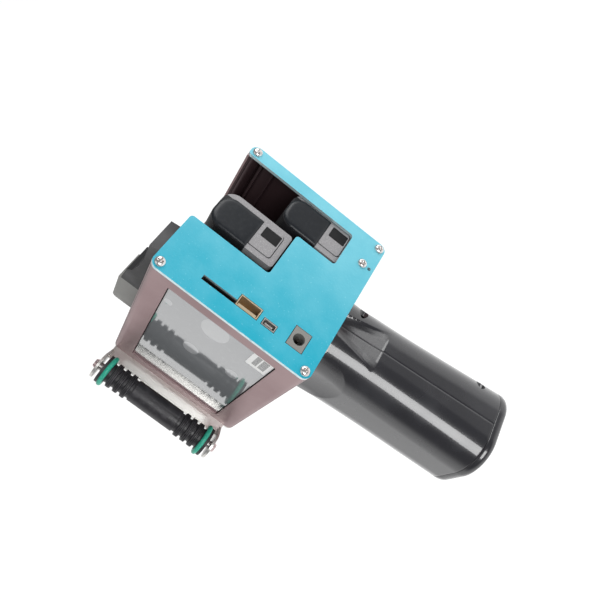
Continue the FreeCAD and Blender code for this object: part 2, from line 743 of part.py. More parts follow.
def ear_outline(sketch, side):
    """Draw an ear: a round end about the roller's axis, run out to the plate's edge."""
    axis = (side * ROLLER_X, ROLLER_Y)
    root = (side * (BODY_SIDE + EAR_BODY_GAP), PRINT_FACE)
    front = (side * ROLLER_X, ROLLER_Y + EAR_RADIUS)
    gap = Vector(as_size(root[0]).number - as_size(axis[0]).number,
                 as_size(root[1]).number - as_size(axis[1]).number, 0)
    radius = EAR_RADIUS.number
    bearing = math.atan2(gap.y, gap.x)
    opening = math.acos(radius / gap.Length)
    touch_angle = bearing + side * opening
    centre = Vector(as_size(axis[0]).number, axis[1].number, 0)
    touch = centre + radius * Vector(math.cos(touch_angle), math.sin(touch_angle), 0)
    root_point = Vector(as_size(root[0]).number, root[1].number, 0)
    corner_point = Vector(centre.x, root_point.y, 0)
    front_point = Vector(centre.x, front[1].number, 0)

    edge = sketch.addGeometry(Part.LineSegment(root_point, corner_point), False)
    short = sketch.addGeometry(Part.LineSegment(corner_point, front_point), False)
    circle = Part.Circle(centre, Vector(0, 0, 1), radius)
    half_turn = math.pi / 2
    angles = (half_turn, touch_angle % (2 * math.pi)) if side < 0 else (touch_angle, half_turn)
    arc = sketch.addGeometry(Part.ArcOfCircle(circle, *angles), False)
    slant = sketch.addGeometry(Part.LineSegment(touch, root_point), False)
    ends = (1, 2) if side < 0 else (2, 1)
    pin_down(sketch, edge, 1, *root)
    pin_down(sketch, edge, 2, axis[0], root[1])
    sketch.addConstraint(Sketcher.Constraint("Coincident", edge, 2, short, 1))
    sketch.addConstraint(Sketcher.Constraint("Coincident", short, 2, arc, ends[0]))
    sketch.addConstraint(Sketcher.Constraint("Tangent", arc, ends[1], slant, 1))
    sketch.addConstraint(Sketcher.Constraint("Coincident", slant, 2, edge, 1))
    pin_down(sketch, arc, 3, *axis)
    pin_down(sketch, short, 2, *front)


def make_front_plate():
    """Stainless print plate with nozzle windows and four folded ears for the rollers."""
    body = new_body()
    sheet = new_sketch(body, "XZ_Plane", -BODY_FRONT)
    draw_rectangle(sheet, (-BODY_SIDE, BODY_BOTTOM), (BODY_SIDE, BODY_TOP), BODY_CORNER)
    pad(body, sheet, FRONT_PLATE_THICK, backwards=True)

    wing = new_sketch(body, "XZ_Plane", -BODY_FRONT)
    wing_x = BODY_SIDE + WING_OUT
    low_z = ROLLER_MIDDLE - EAR_SPACING / 2
    high_z = ROLLER_MIDDLE + EAR_SPACING / 2
    draw_rectangle(wing, (-wing_x, low_z), (wing_x, high_z))
    pad(body, wing, FRONT_PLATE_THICK, backwards=True)

    for _name, side in SIDES:
        for low in (low_z, high_z - EAR_THICK):
            ear = new_sketch(body, "XY_Plane", low)
            ear_outline(ear, side)
            pad(body, ear, EAR_THICK)

    for _name, side in SIDES:
        bores = new_sketch(body, "XY_Plane", high_z)
        draw_circle(bores, side * ROLLER_X, ROLLER_Y, AXLE_RADIUS + SCREW_CLEARANCE)
        pocket(body, bores, EAR_SPACING)

    holes = new_sketch(body, "XZ_Plane", -BODY_FRONT)
    for _name, x, z in STALLS:
        half_width = SNOUT_WIDTH / 2 + SNOUT_GAP
        half_height = SNOUT_HEIGHT / 2 + SNOUT_GAP
        low = (x - half_width, z - half_height)
        high = (x + half_width, z + half_height)
        draw_rectangle(holes, low, high, OPENING_RADIUS)
    for x, z in corner_places():
        draw_circle(holes, x, z, SCREW_RADIUS + SCREW_CLEARANCE)
    pocket(body, holes, FRONT_PLATE_THICK)
    sinks = [sunk_cone(x, z) for x, z in corner_places()]
    node("front_plate", cut(body, *sinks))


def sunk_cone(x, z):
    """The countersink for one front screw, open at the print face."""
    start = PRINT_FACE - SUNK_HEIGHT - SUNK_GAP
    return cone(SCREW_RADIUS, SUNK_RADIUS + SUNK_GAP, SUNK_HEIGHT + SUNK_GAP, (x, start, z), "Y")


def cross_recess(x, z, low_y):
    """The two crossing slots of a driver recess, along Y from low_y."""
    high_y = low_y + RECESS_DEPTH
    across = box((x - RECESS_SPAN / 2, low_y, z - RECESS_WIDTH / 2),
                 (x + RECESS_SPAN / 2, high_y, z + RECESS_WIDTH / 2))
    upright = box((x - RECESS_WIDTH / 2, low_y, z - RECESS_SPAN / 2),
                  (x + RECESS_WIDTH / 2, high_y, z + RECESS_SPAN / 2))
    return across, upright


def pan_screw(x, z):
    """A pan head screw on the rear plate, its thread along +Y."""
    top = PLATE_REAR - HEAD_HEIGHT
    head = cone(HEAD_RADIUS - HEAD_TAPER, HEAD_RADIUS, HEAD_HEIGHT, (x, top, z), "Y")
    shank = rod(SCREW_RADIUS, SCREW_LENGTH, (x, PLATE_REAR, z), "Y")
    return cut(join(head, shank), *cross_recess(x, z, top))


def sunk_screw(x, z):
    """A countersunk screw in the print face, its thread along -Y."""
    top = PRINT_FACE - SUNK_GAP
    head = cone(SCREW_RADIUS, SUNK_RADIUS, SUNK_HEIGHT, (x, top - SUNK_HEIGHT, z), "Y")
    shank = rod(SCREW_RADIUS, SCREW_LENGTH, (x, top - SUNK_HEIGHT - SCREW_LENGTH, z), "Y")
    return cut(join(head, shank), *cross_recess(x, z, top - RECESS_DEPTH))


def make_plate_screws():
    """Corner screws of both plates, and the earth screw in the rear plate."""
    rear = [pan_screw(x, z) for x, z in corner_places() + [(EARTH_X, EARTH_Z)]]
    node("rear_plate_screws", group(*rear))
    front = [sunk_screw(x, z) for x, z in corner_places()]
    node("front_plate_screws", group(*front))


# ---------------------------------------------------------------- display

def make_display():
    """Touch glass in the window, display panel behind it, and a bezel on the wall's inside."""
    low_z = WINDOW_MIDDLE - WINDOW_HEIGHT / 2 + WINDOW_GAP
    high_z = WINDOW_MIDDLE + WINDOW_HEIGHT / 2 - WINDOW_GAP
    low_y = WINDOW_START + WINDOW_GAP
    high_y = WINDOW_START + WINDOW_LENGTH - WINDOW_GAP
    node("display_glass", box((GLASS_FACE, low_y, low_z), (PANEL_START, high_y, high_z)))
    panel_end = PANEL_START + PANEL_THICK
    node("display_panel", box((PANEL_START, low_y, low_z), (panel_end, high_y, high_z)))

    body = new_body()
    frame = new_sketch(body, "YZ_Plane", -INNER_SIDE)
    low = (low_y - BEZEL_LAND, low_z - BEZEL_LAND)
    high = (high_y + BEZEL_LAND, high_z + BEZEL_LAND)
    draw_rectangle(frame, low, high, OPENING_RADIUS)
    pad(body, frame, BEZEL_THICK)
    hollow = new_sketch(body, "YZ_Plane", -INNER_SIDE)
    draw_rectangle(hollow, (low_y, low_z), (high_y, high_z))
    pocket(body, hollow, panel_end + INNER_SIDE, along_normal=True)
    node("display_bezel", body)


# ---------------------------------------------------------------- boards and connectors

def make_boards():
    """Main board behind the display, on standoffs, and the print driver board."""
    low_z = BODY_MIDDLE - BOARD_HEIGHT / 2
    high_z = BODY_MIDDLE + BOARD_HEIGHT / 2
    high_y = BOARD_REAR + BOARD_LENGTH
    node("main_board", box((BOARD_X, BOARD_REAR, low_z), (BOARD_FACE, high_y, high_z)))
    posts = []
    for y in (BOARD_REAR + STANDOFF_INSET + WINDOW_INSET, high_y - STANDOFF_INSET - WINDOW_INSET):
        for z in (low_z + STANDOFF_INSET + BEZEL_LAND, high_z - STANDOFF_INSET - BEZEL_LAND):
            posts.append(rod(STANDOFF_RADIUS, STANDOFF_LENGTH, (-INNER_SIDE + BEZEL_THICK, y, z), "X"))
    node("board_standoffs", group(*posts))
    driver_low = (DRIVER_BOARD_X, BOARD_REAR + DRIVER_BOARD_DROP, low_z + DRIVER_BOARD_DROP)
    driver_high = (DRIVER_BOARD_X + BOARD_THICK, high_y - DRIVER_BOARD_DROP, high_z)
    node("driver_board", box(driver_low, driver_high))


def make_power_jack():
    """Square jack for the charger: a body with a round bore, and its centre pin."""
    low = (BOARD_FACE, PLATE_REAR, JACK_Z - JACK_HEIGHT / 2)
    high = (BOARD_FACE + JACK_WIDTH, PLATE_REAR + JACK_DEPTH, JACK_Z + JACK_HEIGHT / 2)
    centre = BOARD_FACE + JACK_WIDTH / 2
    bore = rod(JACK_BORE, JACK_BORE_DEPTH, (centre, PLATE_REAR, JACK_Z), "Y")
    node("dc_jack_body", cut(box(low, high), bore))
    floor = PLATE_REAR + JACK_BORE_DEPTH
    length = JACK_BORE_DEPTH - RECESS_DEPTH
    node("dc_jack_pin", rod(JACK_PIN_RADIUS, length, (centre, floor - length, JACK_Z), "Y"))


def make_usb_ports():
    """Full-size and small data ports: folded metal shells, the larger one with its tongue."""
    low = (BOARD_FACE, PLATE_REAR, USB_Z - USB_HEIGHT / 2)
    high = (BOARD_FACE + USB_WIDTH, PLATE_REAR + USB_DEPTH, USB_Z + USB_HEIGHT / 2)
    hole_low = (low[0] + USB_SKIN, PLATE_REAR, low[2] + USB_SKIN)
    hole_high = (high[0] - USB_SKIN, high[1] - USB_SKIN, high[2] - USB_SKIN)
    node("usb_socket", cut(box(low, high), box(hole_low, hole_high)))
    tongue_low = (hole_low[0], PLATE_REAR + RECESS_DEPTH, hole_low[2] + USB_SKIN)
    tongue_high = (hole_low[0] + TONGUE_THICK, hole_high[1], hole_high[2] - USB_SKIN)
    node("usb_tongue", box(tongue_low, tongue_high))

    low = (BOARD_FACE, PLATE_REAR, MINI_Z - MINI_HEIGHT / 2)
    high = (BOARD_FACE + MINI_WIDTH, PLATE_REAR + USB_DEPTH, MINI_Z + MINI_HEIGHT / 2)
    hole_low = (low[0] + USB_SKIN, PLATE_REAR, low[2] + USB_SKIN)
    hole_high = (high[0] - USB_SKIN, PLATE_REAR + JACK_BORE_DEPTH, high[2] - USB_SKIN)
    tongue = box((low[0] + MINI_WIDTH / 2 - USB_SKIN, PLATE_REAR + RECESS_DEPTH, low[2] + 3 * USB_SKIN),
                 (low[0] + MINI_WIDTH / 2 + USB_SKIN, hole_high[1], high[2] - 3 * USB_SKIN))
    node("mini_usb_socket", join(cut(box(low, high), box(hole_low, hole_high)), tongue))


def make_card_socket():
    """Flat metal card socket behind its slot in the rear plate."""
    low = (BOARD_FACE, PLATE_REAR + REAR_PLATE_THICK / 2, CARD_Z - CARD_HEIGHT / 2)
    high = (BOARD_FACE + CARD_WIDTH, PLATE_REAR + CARD_DEPTH, CARD_Z + CARD_HEIGHT / 2)
    hole_low = (low[0] + CARD_SKIN, low[1], low[2] + CARD_SKIN)
    hole_high = (high[0] - CARD_SKIN, high[1] - CARD_SKIN, high[2] - CARD_SKIN)
    node("card_socket", cut(box(low, high), box(hole_low, hole_high)))


# ---------------------------------------------------------------- cartridges

def stall_section(sketch, x, z, inset):
    """Draw a stall's section: broad rounded corners at the top, tight ones at the bottom."""
    half_width = STALL_WIDTH / 2 - inset
    half_height = STALL_HEIGHT / 2 - inset
    tight = OPENING_RADIUS
    broad = STALL_RADIUS - inset
    draw_outline(sketch, [
        (x - half_width, z - half_height, tight),
        (x + half_width, z - half_height, tight),
        (x + half_width, z + half_height, broad),
        (x - half_width, z + half_height, broad),
    ])


def make_cartridge(name, x, z):
    """One stall fixed in the head, and the cartridge that slides out of it to the rear."""
    stall = new_body()
    tube = new_sketch(stall, "XZ_Plane", -STALL_REAR)
    stall_section(tube, x, z, as_size(0))
    pad(stall, tube, BODY_FRONT - STALL_REAR, backwards=True)
    hollow = new_sketch(stall, "XZ_Plane", -STALL_REAR)
    stall_section(hollow, x, z, STALL_WALL)
    pocket(stall, hollow, BODY_FRONT - STALL_REAR - STALL_WALL)
    mouth = new_sketch(stall, "XZ_Plane", -STALL_REAR)
    half_width = SNOUT_WIDTH / 2 + SNOUT_GAP
    half_height = SNOUT_HEIGHT / 2 + SNOUT_GAP
    draw_rectangle(mouth, (x - half_width, z - half_height), (x + half_width, z + half_height))
    pocket(stall, mouth, BODY_FRONT - STALL_REAR)
    node(f"{name}_stall", stall)

    tank_rear = STALL_REAR + LID_SET_BACK + LID_THICK
    tank_front = BODY_FRONT - STALL_WALL - TANK_GAP
    tank = new_body()
    case = new_sketch(tank, "XZ_Plane", -tank_rear)
    stall_section(case, x, z, STALL_WALL + TANK_GAP)
    pad(tank, case, tank_front - tank_rear, backwards=True)
    snout = new_sketch(tank, "XZ_Plane", -tank_rear)
    low = (x - SNOUT_WIDTH / 2, z - SNOUT_HEIGHT / 2)
    high = (x + SNOUT_WIDTH / 2, z + SNOUT_HEIGHT / 2)
    draw_rectangle(snout, low, high)
    pad(tank, snout, NOZZLE_FACE - NOZZLE_THICK - tank_rear, backwards=True)
    node(f"{name}_tank", tank)

    lid = new_body()
    cover = new_sketch(lid, "XZ_Plane", -(STALL_REAR + LID_SET_BACK))
    stall_section(cover, x, z, STALL_WALL + TANK_GAP)
    pad(lid, cover, LID_THICK, backwards=True)
    node(f"{name}_lid", lid)

    nozzle_low = (low[0], NOZZLE_FACE - NOZZLE_THICK, low[1])
    nozzle_high = (high[0], NOZZLE_FACE, high[1])
    node(f"{name}_nozzle_plate", box(nozzle_low, nozzle_high))

    contact_x = x - STALL_WIDTH / 2 - CONTACT_THICK
    contact_low = (contact_x, BODY_FRONT - SNOUT_HEIGHT, z - SNOUT_WIDTH)
    contact_high = (contact_x + CONTACT_THICK, BODY_FRONT - RAIL_PITCH, z + SNOUT_WIDTH)
    node(f"{name}_contacts", box(contact_low, contact_high))


# ---------------------------------------------------------------- guide rollers

def sleeve_profile():
    """Half profile of the rubber sleeve, as (radius, height above the roller's middle) points."""
    half_smooth = SMOOTH_LENGTH / 2
    end = RING_SPACING / 2 - RING_WIRE
    points = [(SLEEVE_RADIUS, half_smooth), (VALLEY_RADIUS, half_smooth)]
    for rib in range(RIB_COUNT):
        start = half_smooth + RIB_PITCH * rib + (RIB_PITCH - RIB_WIDTH)
        points.append((VALLEY_RADIUS, start))
        points.append((RIB_RADIUS, start + RIB_SLOPE))
        points.append((RIB_RADIUS, start + RIB_WIDTH - RIB_SLOPE))
        points.append((VALLEY_RADIUS, start + RIB_WIDTH))
    points.append((VALLEY_RADIUS, end))
    return points


def make_roller(name, side):
    """Roller on its axle: core, ribbed sleeve, two rings and two end discs turn together."""
    x = side * ROLLER_X
    half = RING_SPACING / 2 + RING_WIRE + DISC_THICK
    core_start = (x, ROLLER_Y, ROLLER_MIDDLE - half)
    core = rod(CORE_RADIUS, half * 2, core_start)
    bore = rod(AXLE_RADIUS + AXLE_RUNNING_GAP, half * 2, core_start)
    node(f"{name}_roller_core", cut(core, bore))

    body = new_body()
    profile = new_sketch(body, "XZ_Plane", 0)
    upper = [(radius, ROLLER_MIDDLE + height) for radius, height in sleeve_profile()]
    lower = [(radius, ROLLER_MIDDLE - height) for radius, height in reversed(sleeve_profile())]
    draw_outline(profile, [
        (CORE_RADIUS, ROLLER_MIDDLE - (RING_SPACING / 2 - RING_WIRE)),
        *lower,
        *upper,
        (CORE_RADIUS, ROLLER_MIDDLE + (RING_SPACING / 2 - RING_WIRE)),
    ])
    turned = body.newObject("PartDesign::Revolution", new_label("turned"))
    turned.Profile = profile
    turned.ReferenceAxis = (profile, ["V_Axis"])
    turned.Angle = 360
    place(body, x, ROLLER_Y, 0)
    node(f"{name}_roller_sleeve", body)

    rings = []
    discs = []
    for end in (-1, 1):
        ring_z = ROLLER_MIDDLE + end * (RING_SPACING / 2)
        rings.append(ring(RING_RADIUS - RING_WIRE, RING_WIRE, (x, ROLLER_Y, ring_z)))
        disc_z = ring_z + RING_WIRE if end > 0 else ring_z - RING_WIRE - DISC_THICK
        disc = rod(DISC_RADIUS, DISC_THICK, (x, ROLLER_Y, disc_z))
        hub_z = ring_z - RING_WIRE
        hub = rod(RING_RADIUS - 2 * RING_WIRE, 2 * RING_WIRE, (x, ROLLER_Y, hub_z))
        low_z = ring_z - RING_WIRE - DISC_THICK
        hole = rod(CORE_RADIUS, 2 * (RING_WIRE + DISC_THICK), (x, ROLLER_Y, low_z))
        discs.append(cut(join(disc, hub), hole))
    node(f"{name}_roller_o_rings", group(*rings))
    node(f"{name}_roller_end_discs", group(*discs))

    low_ear = ROLLER_MIDDLE - EAR_SPACING / 2
    node(f"{name}_axle", rod(AXLE_RADIUS, EAR_SPACING, (x, ROLLER_Y, low_ear)))
    bolts = []
    for end in (-1, 1):
        start = low_ear - BOLT_HEIGHT if end < 0 else low_ear + EAR_SPACING
        socket_start = start if end < 0 else start + BOLT_HEIGHT - RECESS_DEPTH
        radii = (BOLT_TOP_RADIUS, BOLT_RADIUS) if end < 0 else (BOLT_RADIUS, BOLT_TOP_RADIUS)
        head = cone(radii[0], radii[1], BOLT_HEIGHT, (x, ROLLER_Y, start))
        socket = rod(BOLT_SOCKET, RECESS_DEPTH, (x, ROLLER_Y, socket_start))
        bolts.append(cut(head, socket))
    node(f"{name}_axle_bolts", group(*bolts))


def make_encoder():
    """Magnet ring on the right roller's lower disc, and its pickup on the ear below."""
    x = ROLLER_X
    half = RING_SPACING / 2 + RING_WIRE + DISC_THICK
    magnet_z = ROLLER_MIDDLE - half - ENCODER_THICK
    magnet = rod(ENCODER_RADIUS, ENCODER_THICK, (x, ROLLER_Y, magnet_z))
    bore = rod(CORE_RADIUS, ENCODER_THICK, (x, ROLLER_Y, magnet_z))
    node("encoder_magnet", cut(magnet, bore))
    top = ROLLER_MIDDLE - EAR_SPACING / 2
    low_x = ROLLER_X - BOLT_RADIUS - SCREW_CLEARANCE - PICKUP_WIDTH
    low = (low_x, ROLLER_Y - PICKUP_LENGTH / 2, top - PICKUP_THICK)
    high = (low_x + PICKUP_WIDTH, ROLLER_Y + PICKUP_LENGTH / 2, top)
    node("encoder_pickup", box(low, high))


# ---------------------------------------------------------------- product sensor

def make_sensor():
    """Sensor on top: a black foot that sweeps up to a lip, a grey head and its lens."""
    body = new_body()
    profile = new_sketch(body, "YZ_Plane", SENSOR_X)
    head_start = SENSOR_HEAD_Y
    draw_outline(profile, [
        (SENSOR_REAR, BODY_TOP),
        (head_start, BODY_TOP),
        (head_start, BODY_TOP + SENSOR_HEAD_HEIGHT - SENSOR_RADIUS / 2),
        (SENSOR_RISE_END + SENSOR_RADIUS, BODY_TOP + SENSOR_LIP),
        (SENSOR_RISE_END, BODY_TOP + SENSOR_RISE),
        ((SENSOR_NECK_END + SENSOR_RISE_END) / 2, BODY_TOP + SENSOR_LOW + SENSOR_RADIUS / 3),
        (SENSOR_NECK_END, BODY_TOP + SENSOR_LOW),
        (SENSOR_REAR + SENSOR_RADIUS / 2, BODY_TOP + SENSOR_LOW),
    ])
    pad(body, profile, SENSOR_WIDTH)
    node("sensor_base", body)

    head = new_body()
    side = new_sketch(head, "YZ_Plane", SENSOR_X)
    low = (head_start, BODY_TOP)
    high = (head_start + SENSOR_HEAD_LENGTH, BODY_TOP + SENSOR_HEAD_HEIGHT)
    draw_outline(side, [low, (high[0], low[1]), (high[0], high[1], SENSOR_RADIUS), (low[0], high[1])])
    pad(head, side, SENSOR_WIDTH)
    eye = new_sketch(head, "XZ_Plane", -high[0])
    eye_x = SENSOR_X + SENSOR_WIDTH / 2
    eye_z = BODY_TOP + SENSOR_HEAD_HEIGHT / 2
    draw_circle(eye, eye_x, eye_z, LENS_RADIUS)
    pocket(head, eye, LENS_DEPTH, along_normal=True)
    node("sensor_head", head)
    lens_start = (eye_x, high[0] - LENS_DEPTH, eye_z)
    node("sensor_lens", rod(LENS_RADIUS, LENS_DEPTH - RECESS_DEPTH / 2, lens_start, "Y"))


# ---------------------------------------------------------------- power switch

def make_power_switch():
    """Slide switch inside the floor, and its knob that stands out of the underside."""
    floor = BODY_BOTTOM + BODY_WALL
    knob_top = floor + FLANGE_THICK
    half_body = POWER_BODY_LENGTH / 2
    low = (POWER_X - half_body, POWER_Y - POWER_BODY_WIDTH / 2, knob_top + KNOB_GAP)
    high = (POWER_X + half_body, POWER_Y + POWER_BODY_WIDTH / 2, knob_top + KNOB_GAP + POWER_BODY_HEIGHT)
    node("power_switch_body", box(low, high))
    knob = box((POWER_X - KNOB_LENGTH / 2, POWER_Y - KNOB_WIDTH / 2, BODY_BOTTOM - KNOB_PROUD),
               (POWER_X + KNOB_LENGTH / 2, POWER_Y + KNOB_WIDTH / 2, knob_top))
    node("power_slider", knob)


# ---------------------------------------------------------------- grip

def grip_centre(height):
    """Y of the grip's middle at a height above its base."""
    return GRIP_SLOPE * height


def grip_sections(inset):
    """Half sizes of the grip's sections from base to neck, as (height, half X, half Y)."""
    swell_half_x = (BASE_HALF_X + WAIST_HALF_X) / 2
    swell_half_y = (BASE_HALF_Y + WAIST_HALF_Y) / 2
    return (
        (as_size(0), BASE_HALF_X - inset, BASE_HALF_Y - inset),
        (SWELL_UP, swell_half_x - inset, swell_half_y - inset),
        (WAIST_UP, WAIST_HALF_X - inset, WAIST_HALF_Y - inset),
        (GRIP_LENGTH, NECK_HALF_X - inset, NECK_HALF_Y - inset),
    )


def grip_loft(body, kind, inset):
    """Add or take away the leaning form of the grip, inset from its surface."""
    sketches = []
    for height, half_x, half_y in grip_sections(inset):
        sketch = new_sketch(body, "XY_Plane", height)
        middle = grip_centre(height)
        draw_rectangle(sketch, (-half_x, middle - half_y), (half_x, middle + half_y), GRIP_CORNER - inset)
        sketches.append(sketch)
    loft = body.newObject(f"PartDesign::{kind}Loft", new_label("loft"))
    loft.Profile = sketches[0]
    loft.Sections = sketches[1:]
    DOC.recompute()
    return body


def solid_grip(inset=0):
    """The grip's form as one solid, inset from its surface."""
    return grip_loft(new_body(), "Additive", as_size(inset))


def grip_bosses():
    """Axes of the screws across the grip, as (Y, Z): two behind and one in front of the cells."""
    return (
        (grip_centre(HIGH_SCREW_UP) - NECK_HALF_Y + BOSS_INSET, HIGH_SCREW_UP),
        (grip_centre(LOW_SCREW_UP) - BASE_HALF_Y + BOSS_INSET, LOW_SCREW_UP),
        (grip_centre(FRONT_SCREW_UP) + WAIST_HALF_Y - BOSS_INSET, FRONT_SCREW_UP),
    )


def trigger_face(height=TRIGGER_UP):
    """Y of the grip's front surface at a height beside the trigger."""
    return grip_centre(height) + (WAIST_HALF_Y + NECK_HALF_Y) / 2


def make_grip_shells():
    """Two hollow shells that meet on X = 0, with the trigger's opening and the screw bosses."""
    for name, side in SIDES:
        low_x = -BEYOND if side < 0 else as_size(0)
        region = box((low_x, -BEYOND, CAP_HEIGHT), (low_x + BEYOND, BEYOND, GRIP_LENGTH))
        posts = []
        for y, z in grip_bosses():
            posts.append(rod(BOSS_RADIUS, BEYOND * 2, (-BEYOND, y, z), "X"))
        walls = cut(solid_grip(), solid_grip(GRIP_WALL))
        filled = common(join(walls, common(join(*posts), solid_grip())), region)
        opening_low = (-(TRIGGER_WIDTH / 2 + TRIGGER_GAP), trigger_face() - 3 * GRIP_WALL,
                       TRIGGER_UP - TRIGGER_HEIGHT / 2 - TRIGGER_GAP)
        opening_high = (TRIGGER_WIDTH / 2 + TRIGGER_GAP, BEYOND,
                        TRIGGER_UP + TRIGGER_HEIGHT / 2 + TRIGGER_GAP)
        tools = [box(opening_low, opening_high)]
        for y, z in grip_bosses():
            start = (-GRIP_SCREW_LENGTH / 2, y, z)
            tools.append(rod(SCREW_RADIUS + SCREW_CLEARANCE, BEYOND, start, "X"))
            recess_start = (GRIP_SCREW_LENGTH / 2, y, z)
            tools.append(rod(GRIP_SCREW_HEAD + GRIP_RECESS_GAP, BEYOND, recess_start, "X"))
        node(f"grip_shell_{name}", cut(filled, *tools))


def make_grip_screws():
    """Screws across the grip, seated in the right shell."""
    screws = []
    for y, z in grip_bosses():
        head_x = GRIP_SCREW_LENGTH / 2
        shank = rod(SCREW_RADIUS, GRIP_SCREW_LENGTH, (-GRIP_SCREW_LENGTH / 2, y, z), "X")
        head = rod(GRIP_SCREW_HEAD, HEAD_HEIGHT, (head_x, y, z), "X")
        socket = rod(BOLT_SOCKET, RECESS_DEPTH, (head_x + HEAD_HEIGHT - RECESS_DEPTH, y, z), "X")
        screws.append(cut(join(shank, head), socket))
    node("grip_screws", group(*screws))


def make_grip_cap():
    """Flat cap that closes the grip's base, with a lip inside the shells."""
    slab = box((-BEYOND, -BEYOND, 0), (BEYOND, BEYOND, CAP_HEIGHT))
    collar = box((-BEYOND, -BEYOND, CAP_FLOOR), (BEYOND, BEYOND, CAP_HEIGHT + CAP_LIP))
    outside = common(solid_grip(), slab)
    inside = common(solid_grip(GRIP_WALL + CAP_LIP_GAP), collar)
    hollow = common(solid_grip(2 * GRIP_WALL), collar)
    node("grip_base_cap", cut(join(outside, inside), hollow))


def make_grip_mount():
    """Steel plate inside the housing's floor, and the screws down into the grip's neck."""
    floor = BODY_BOTTOM + BODY_WALL
    edge = 2 * HEAD_RADIUS
    low = (-MOUNT_X - edge, GRIP_LEAN - MOUNT_Y - edge, floor)
    high = (MOUNT_X + edge, GRIP_LEAN + MOUNT_Y + edge, floor + MOUNT_THICK)
    holes = [rod(WIRE_HOLE, MOUNT_THICK, (0, GRIP_LEAN, floor))]
    for x, y in mount_places():
        holes.append(rod(SCREW_RADIUS + SCREW_CLEARANCE, MOUNT_THICK, (x, y, floor)))
    node("grip_mount_plate", cut(box(low, high), *holes))
    screws = []
    seat = floor + MOUNT_THICK
    for x, y in mount_places():
        shank = rod(SCREW_RADIUS, SCREW_LENGTH, (x, y, seat - SCREW_LENGTH))
        head = rod(HEAD_RADIUS, HEAD_HEIGHT, (x, y, seat))
        socket = rod(BOLT_SOCKET, RECESS_DEPTH, (x, y, seat + HEAD_HEIGHT - RECESS_DEPTH))
        screws.append(cut(join(shank, head), socket))
    node("grip_mount_screws", group(*screws))
    ring_low = BODY_BOTTOM - (SCREW_LENGTH - MOUNT_THICK - BODY_WALL) - SCREW_RADIUS
    slab = box((-BEYOND, -BEYOND, ring_low), (BEYOND, BEYOND, BODY_BOTTOM))
    insert = common(solid_grip(GRIP_WALL), slab)
    holes = [rod(THREAD_BORE, SCREW_LENGTH, (x, y, ring_low)) for x, y in mount_places()]
    holes.append(rod(WIRE_HOLE, SCREW_LENGTH, (0, GRIP_LEAN, ring_low)))
    node("grip_neck_insert", cut(insert, *holes))


# ---------------------------------------------------------------- trigger

def make_trigger():
    """Trigger with a flange inside the shells, its carrier plate, switch and return spring."""
    back = trigger_face() - TRIGGER_DEPTH
    half_width = TRIGGER_WIDTH / 2
    low_z = TRIGGER_UP - TRIGGER_HEIGHT / 2
    high_z = TRIGGER_UP + TRIGGER_HEIGHT / 2
    button = new_body()
    side = new_sketch(button, "YZ_Plane", -half_width)
    draw_outline(side, [
        (back, low_z),
        (trigger_face(low_z) + TRIGGER_PROUD, low_z),
        (trigger_face(high_z) + TRIGGER_PROUD, high_z),
        (back, high_z),
    ])
    pad(button, side, TRIGGER_WIDTH)
    flange = new_sketch(button, "XZ_Plane", -back)
    low = (-half_width - FLANGE_OUT, low_z - FLANGE_OUT)
    high = (half_width + FLANGE_OUT, high_z + FLANGE_OUT)
    draw_rectangle(flange, low, high)
    pad(button, flange, FLANGE_THICK, backwards=True)
    node("trigger", button)

    half_switch = TRIGGER_SWITCH / 2
    switch_front = back - TRIGGER_TRAVEL - TRIGGER_GAP
    switch_back = switch_front - 2 * TRIGGER_SWITCH
    low = (-half_switch, switch_back, TRIGGER_UP - TRIGGER_SWITCH)
    high = (half_switch, switch_front, TRIGGER_UP + TRIGGER_SWITCH)
    node("trigger_switch", box(low, high))
    slab_low = (-BEYOND, switch_back - CARRIER_THICK, TRIGGER_UP - TRIGGER_SWITCH)
    slab_high = (BEYOND, switch_back, high_z + FLANGE_OUT)
    node("trigger_carrier", common(solid_grip(GRIP_WALL), box(slab_low, slab_high)))

    spring = new_body()
    wire = new_sketch(spring, "XZ_Plane", 0)
    draw_circle(wire, SPRING_RADIUS, SPRING_WIRE + SPRING_GAP, SPRING_WIRE)
    coil = spring.newObject("PartDesign::AdditiveHelix", new_label("coil"))
    coil.Profile = wire
    coil.ReferenceAxis = (wire, ["V_Axis"])
    coil.Mode = "pitch-height-angle"
    bind(coil, "Pitch", SPRING_PITCH)
    bind(coil, "Height", back - switch_back - 2 * (SPRING_WIRE + SPRING_GAP))
    spring.Placement = Placement(Vector(), TURNS["Y"])
    place(spring, 0, switch_back, TRIGGER_UP + SPRING_UP)
    node("trigger_spring", spring)


# ---------------------------------------------------------------- batteries

def make_batteries():
    """Four cells between two end plates, the whole pack leaning with the grip."""
    step = CELL_RADIUS + CELL_GAP
    half = step + CELL_RADIUS
    cells = []
    for x in (-step, step):
        for y in (-step, step):
            cells.append(rod(CELL_RADIUS, CELL_LENGTH, (x, y, CELL_PLATE)))
    plates = []
    for low in (as_size(0), CELL_PLATE + CELL_LENGTH):
        plates.append(box((-half, -half, low), (half, half, low + CELL_PLATE)))
    turn = Rotation(Vector(-1, 0, 0), math.degrees(math.atan(GRIP_SLOPE.number)))
    for name, pieces in (("battery_cells", cells), ("battery_end_plates", plates)):
        pack = group(*pieces)
        pack.Placement = Placement(Vector(), turn)
        pack.setExpression("Placement.Rotation.Angle", f"atan({GRIP_SLOPE.text})")
        place(pack, 0, grip_centre(CELL_START), CELL_START)
        node(name, pack)


MAKERS = (
    make_housing,
    make_rear_plate,
    make_front_plate,
    make_plate_screws,
    make_display,
    make_boards,
    make_power_jack,
    make_usb_ports,
    make_card_socket,
    make_encoder,
    make_sensor,
    make_power_switch,
    make_grip_shells,
    make_grip_screws,
    make_grip_cap,
    make_grip_mount,
    make_trigger,
    make_batteries,
)


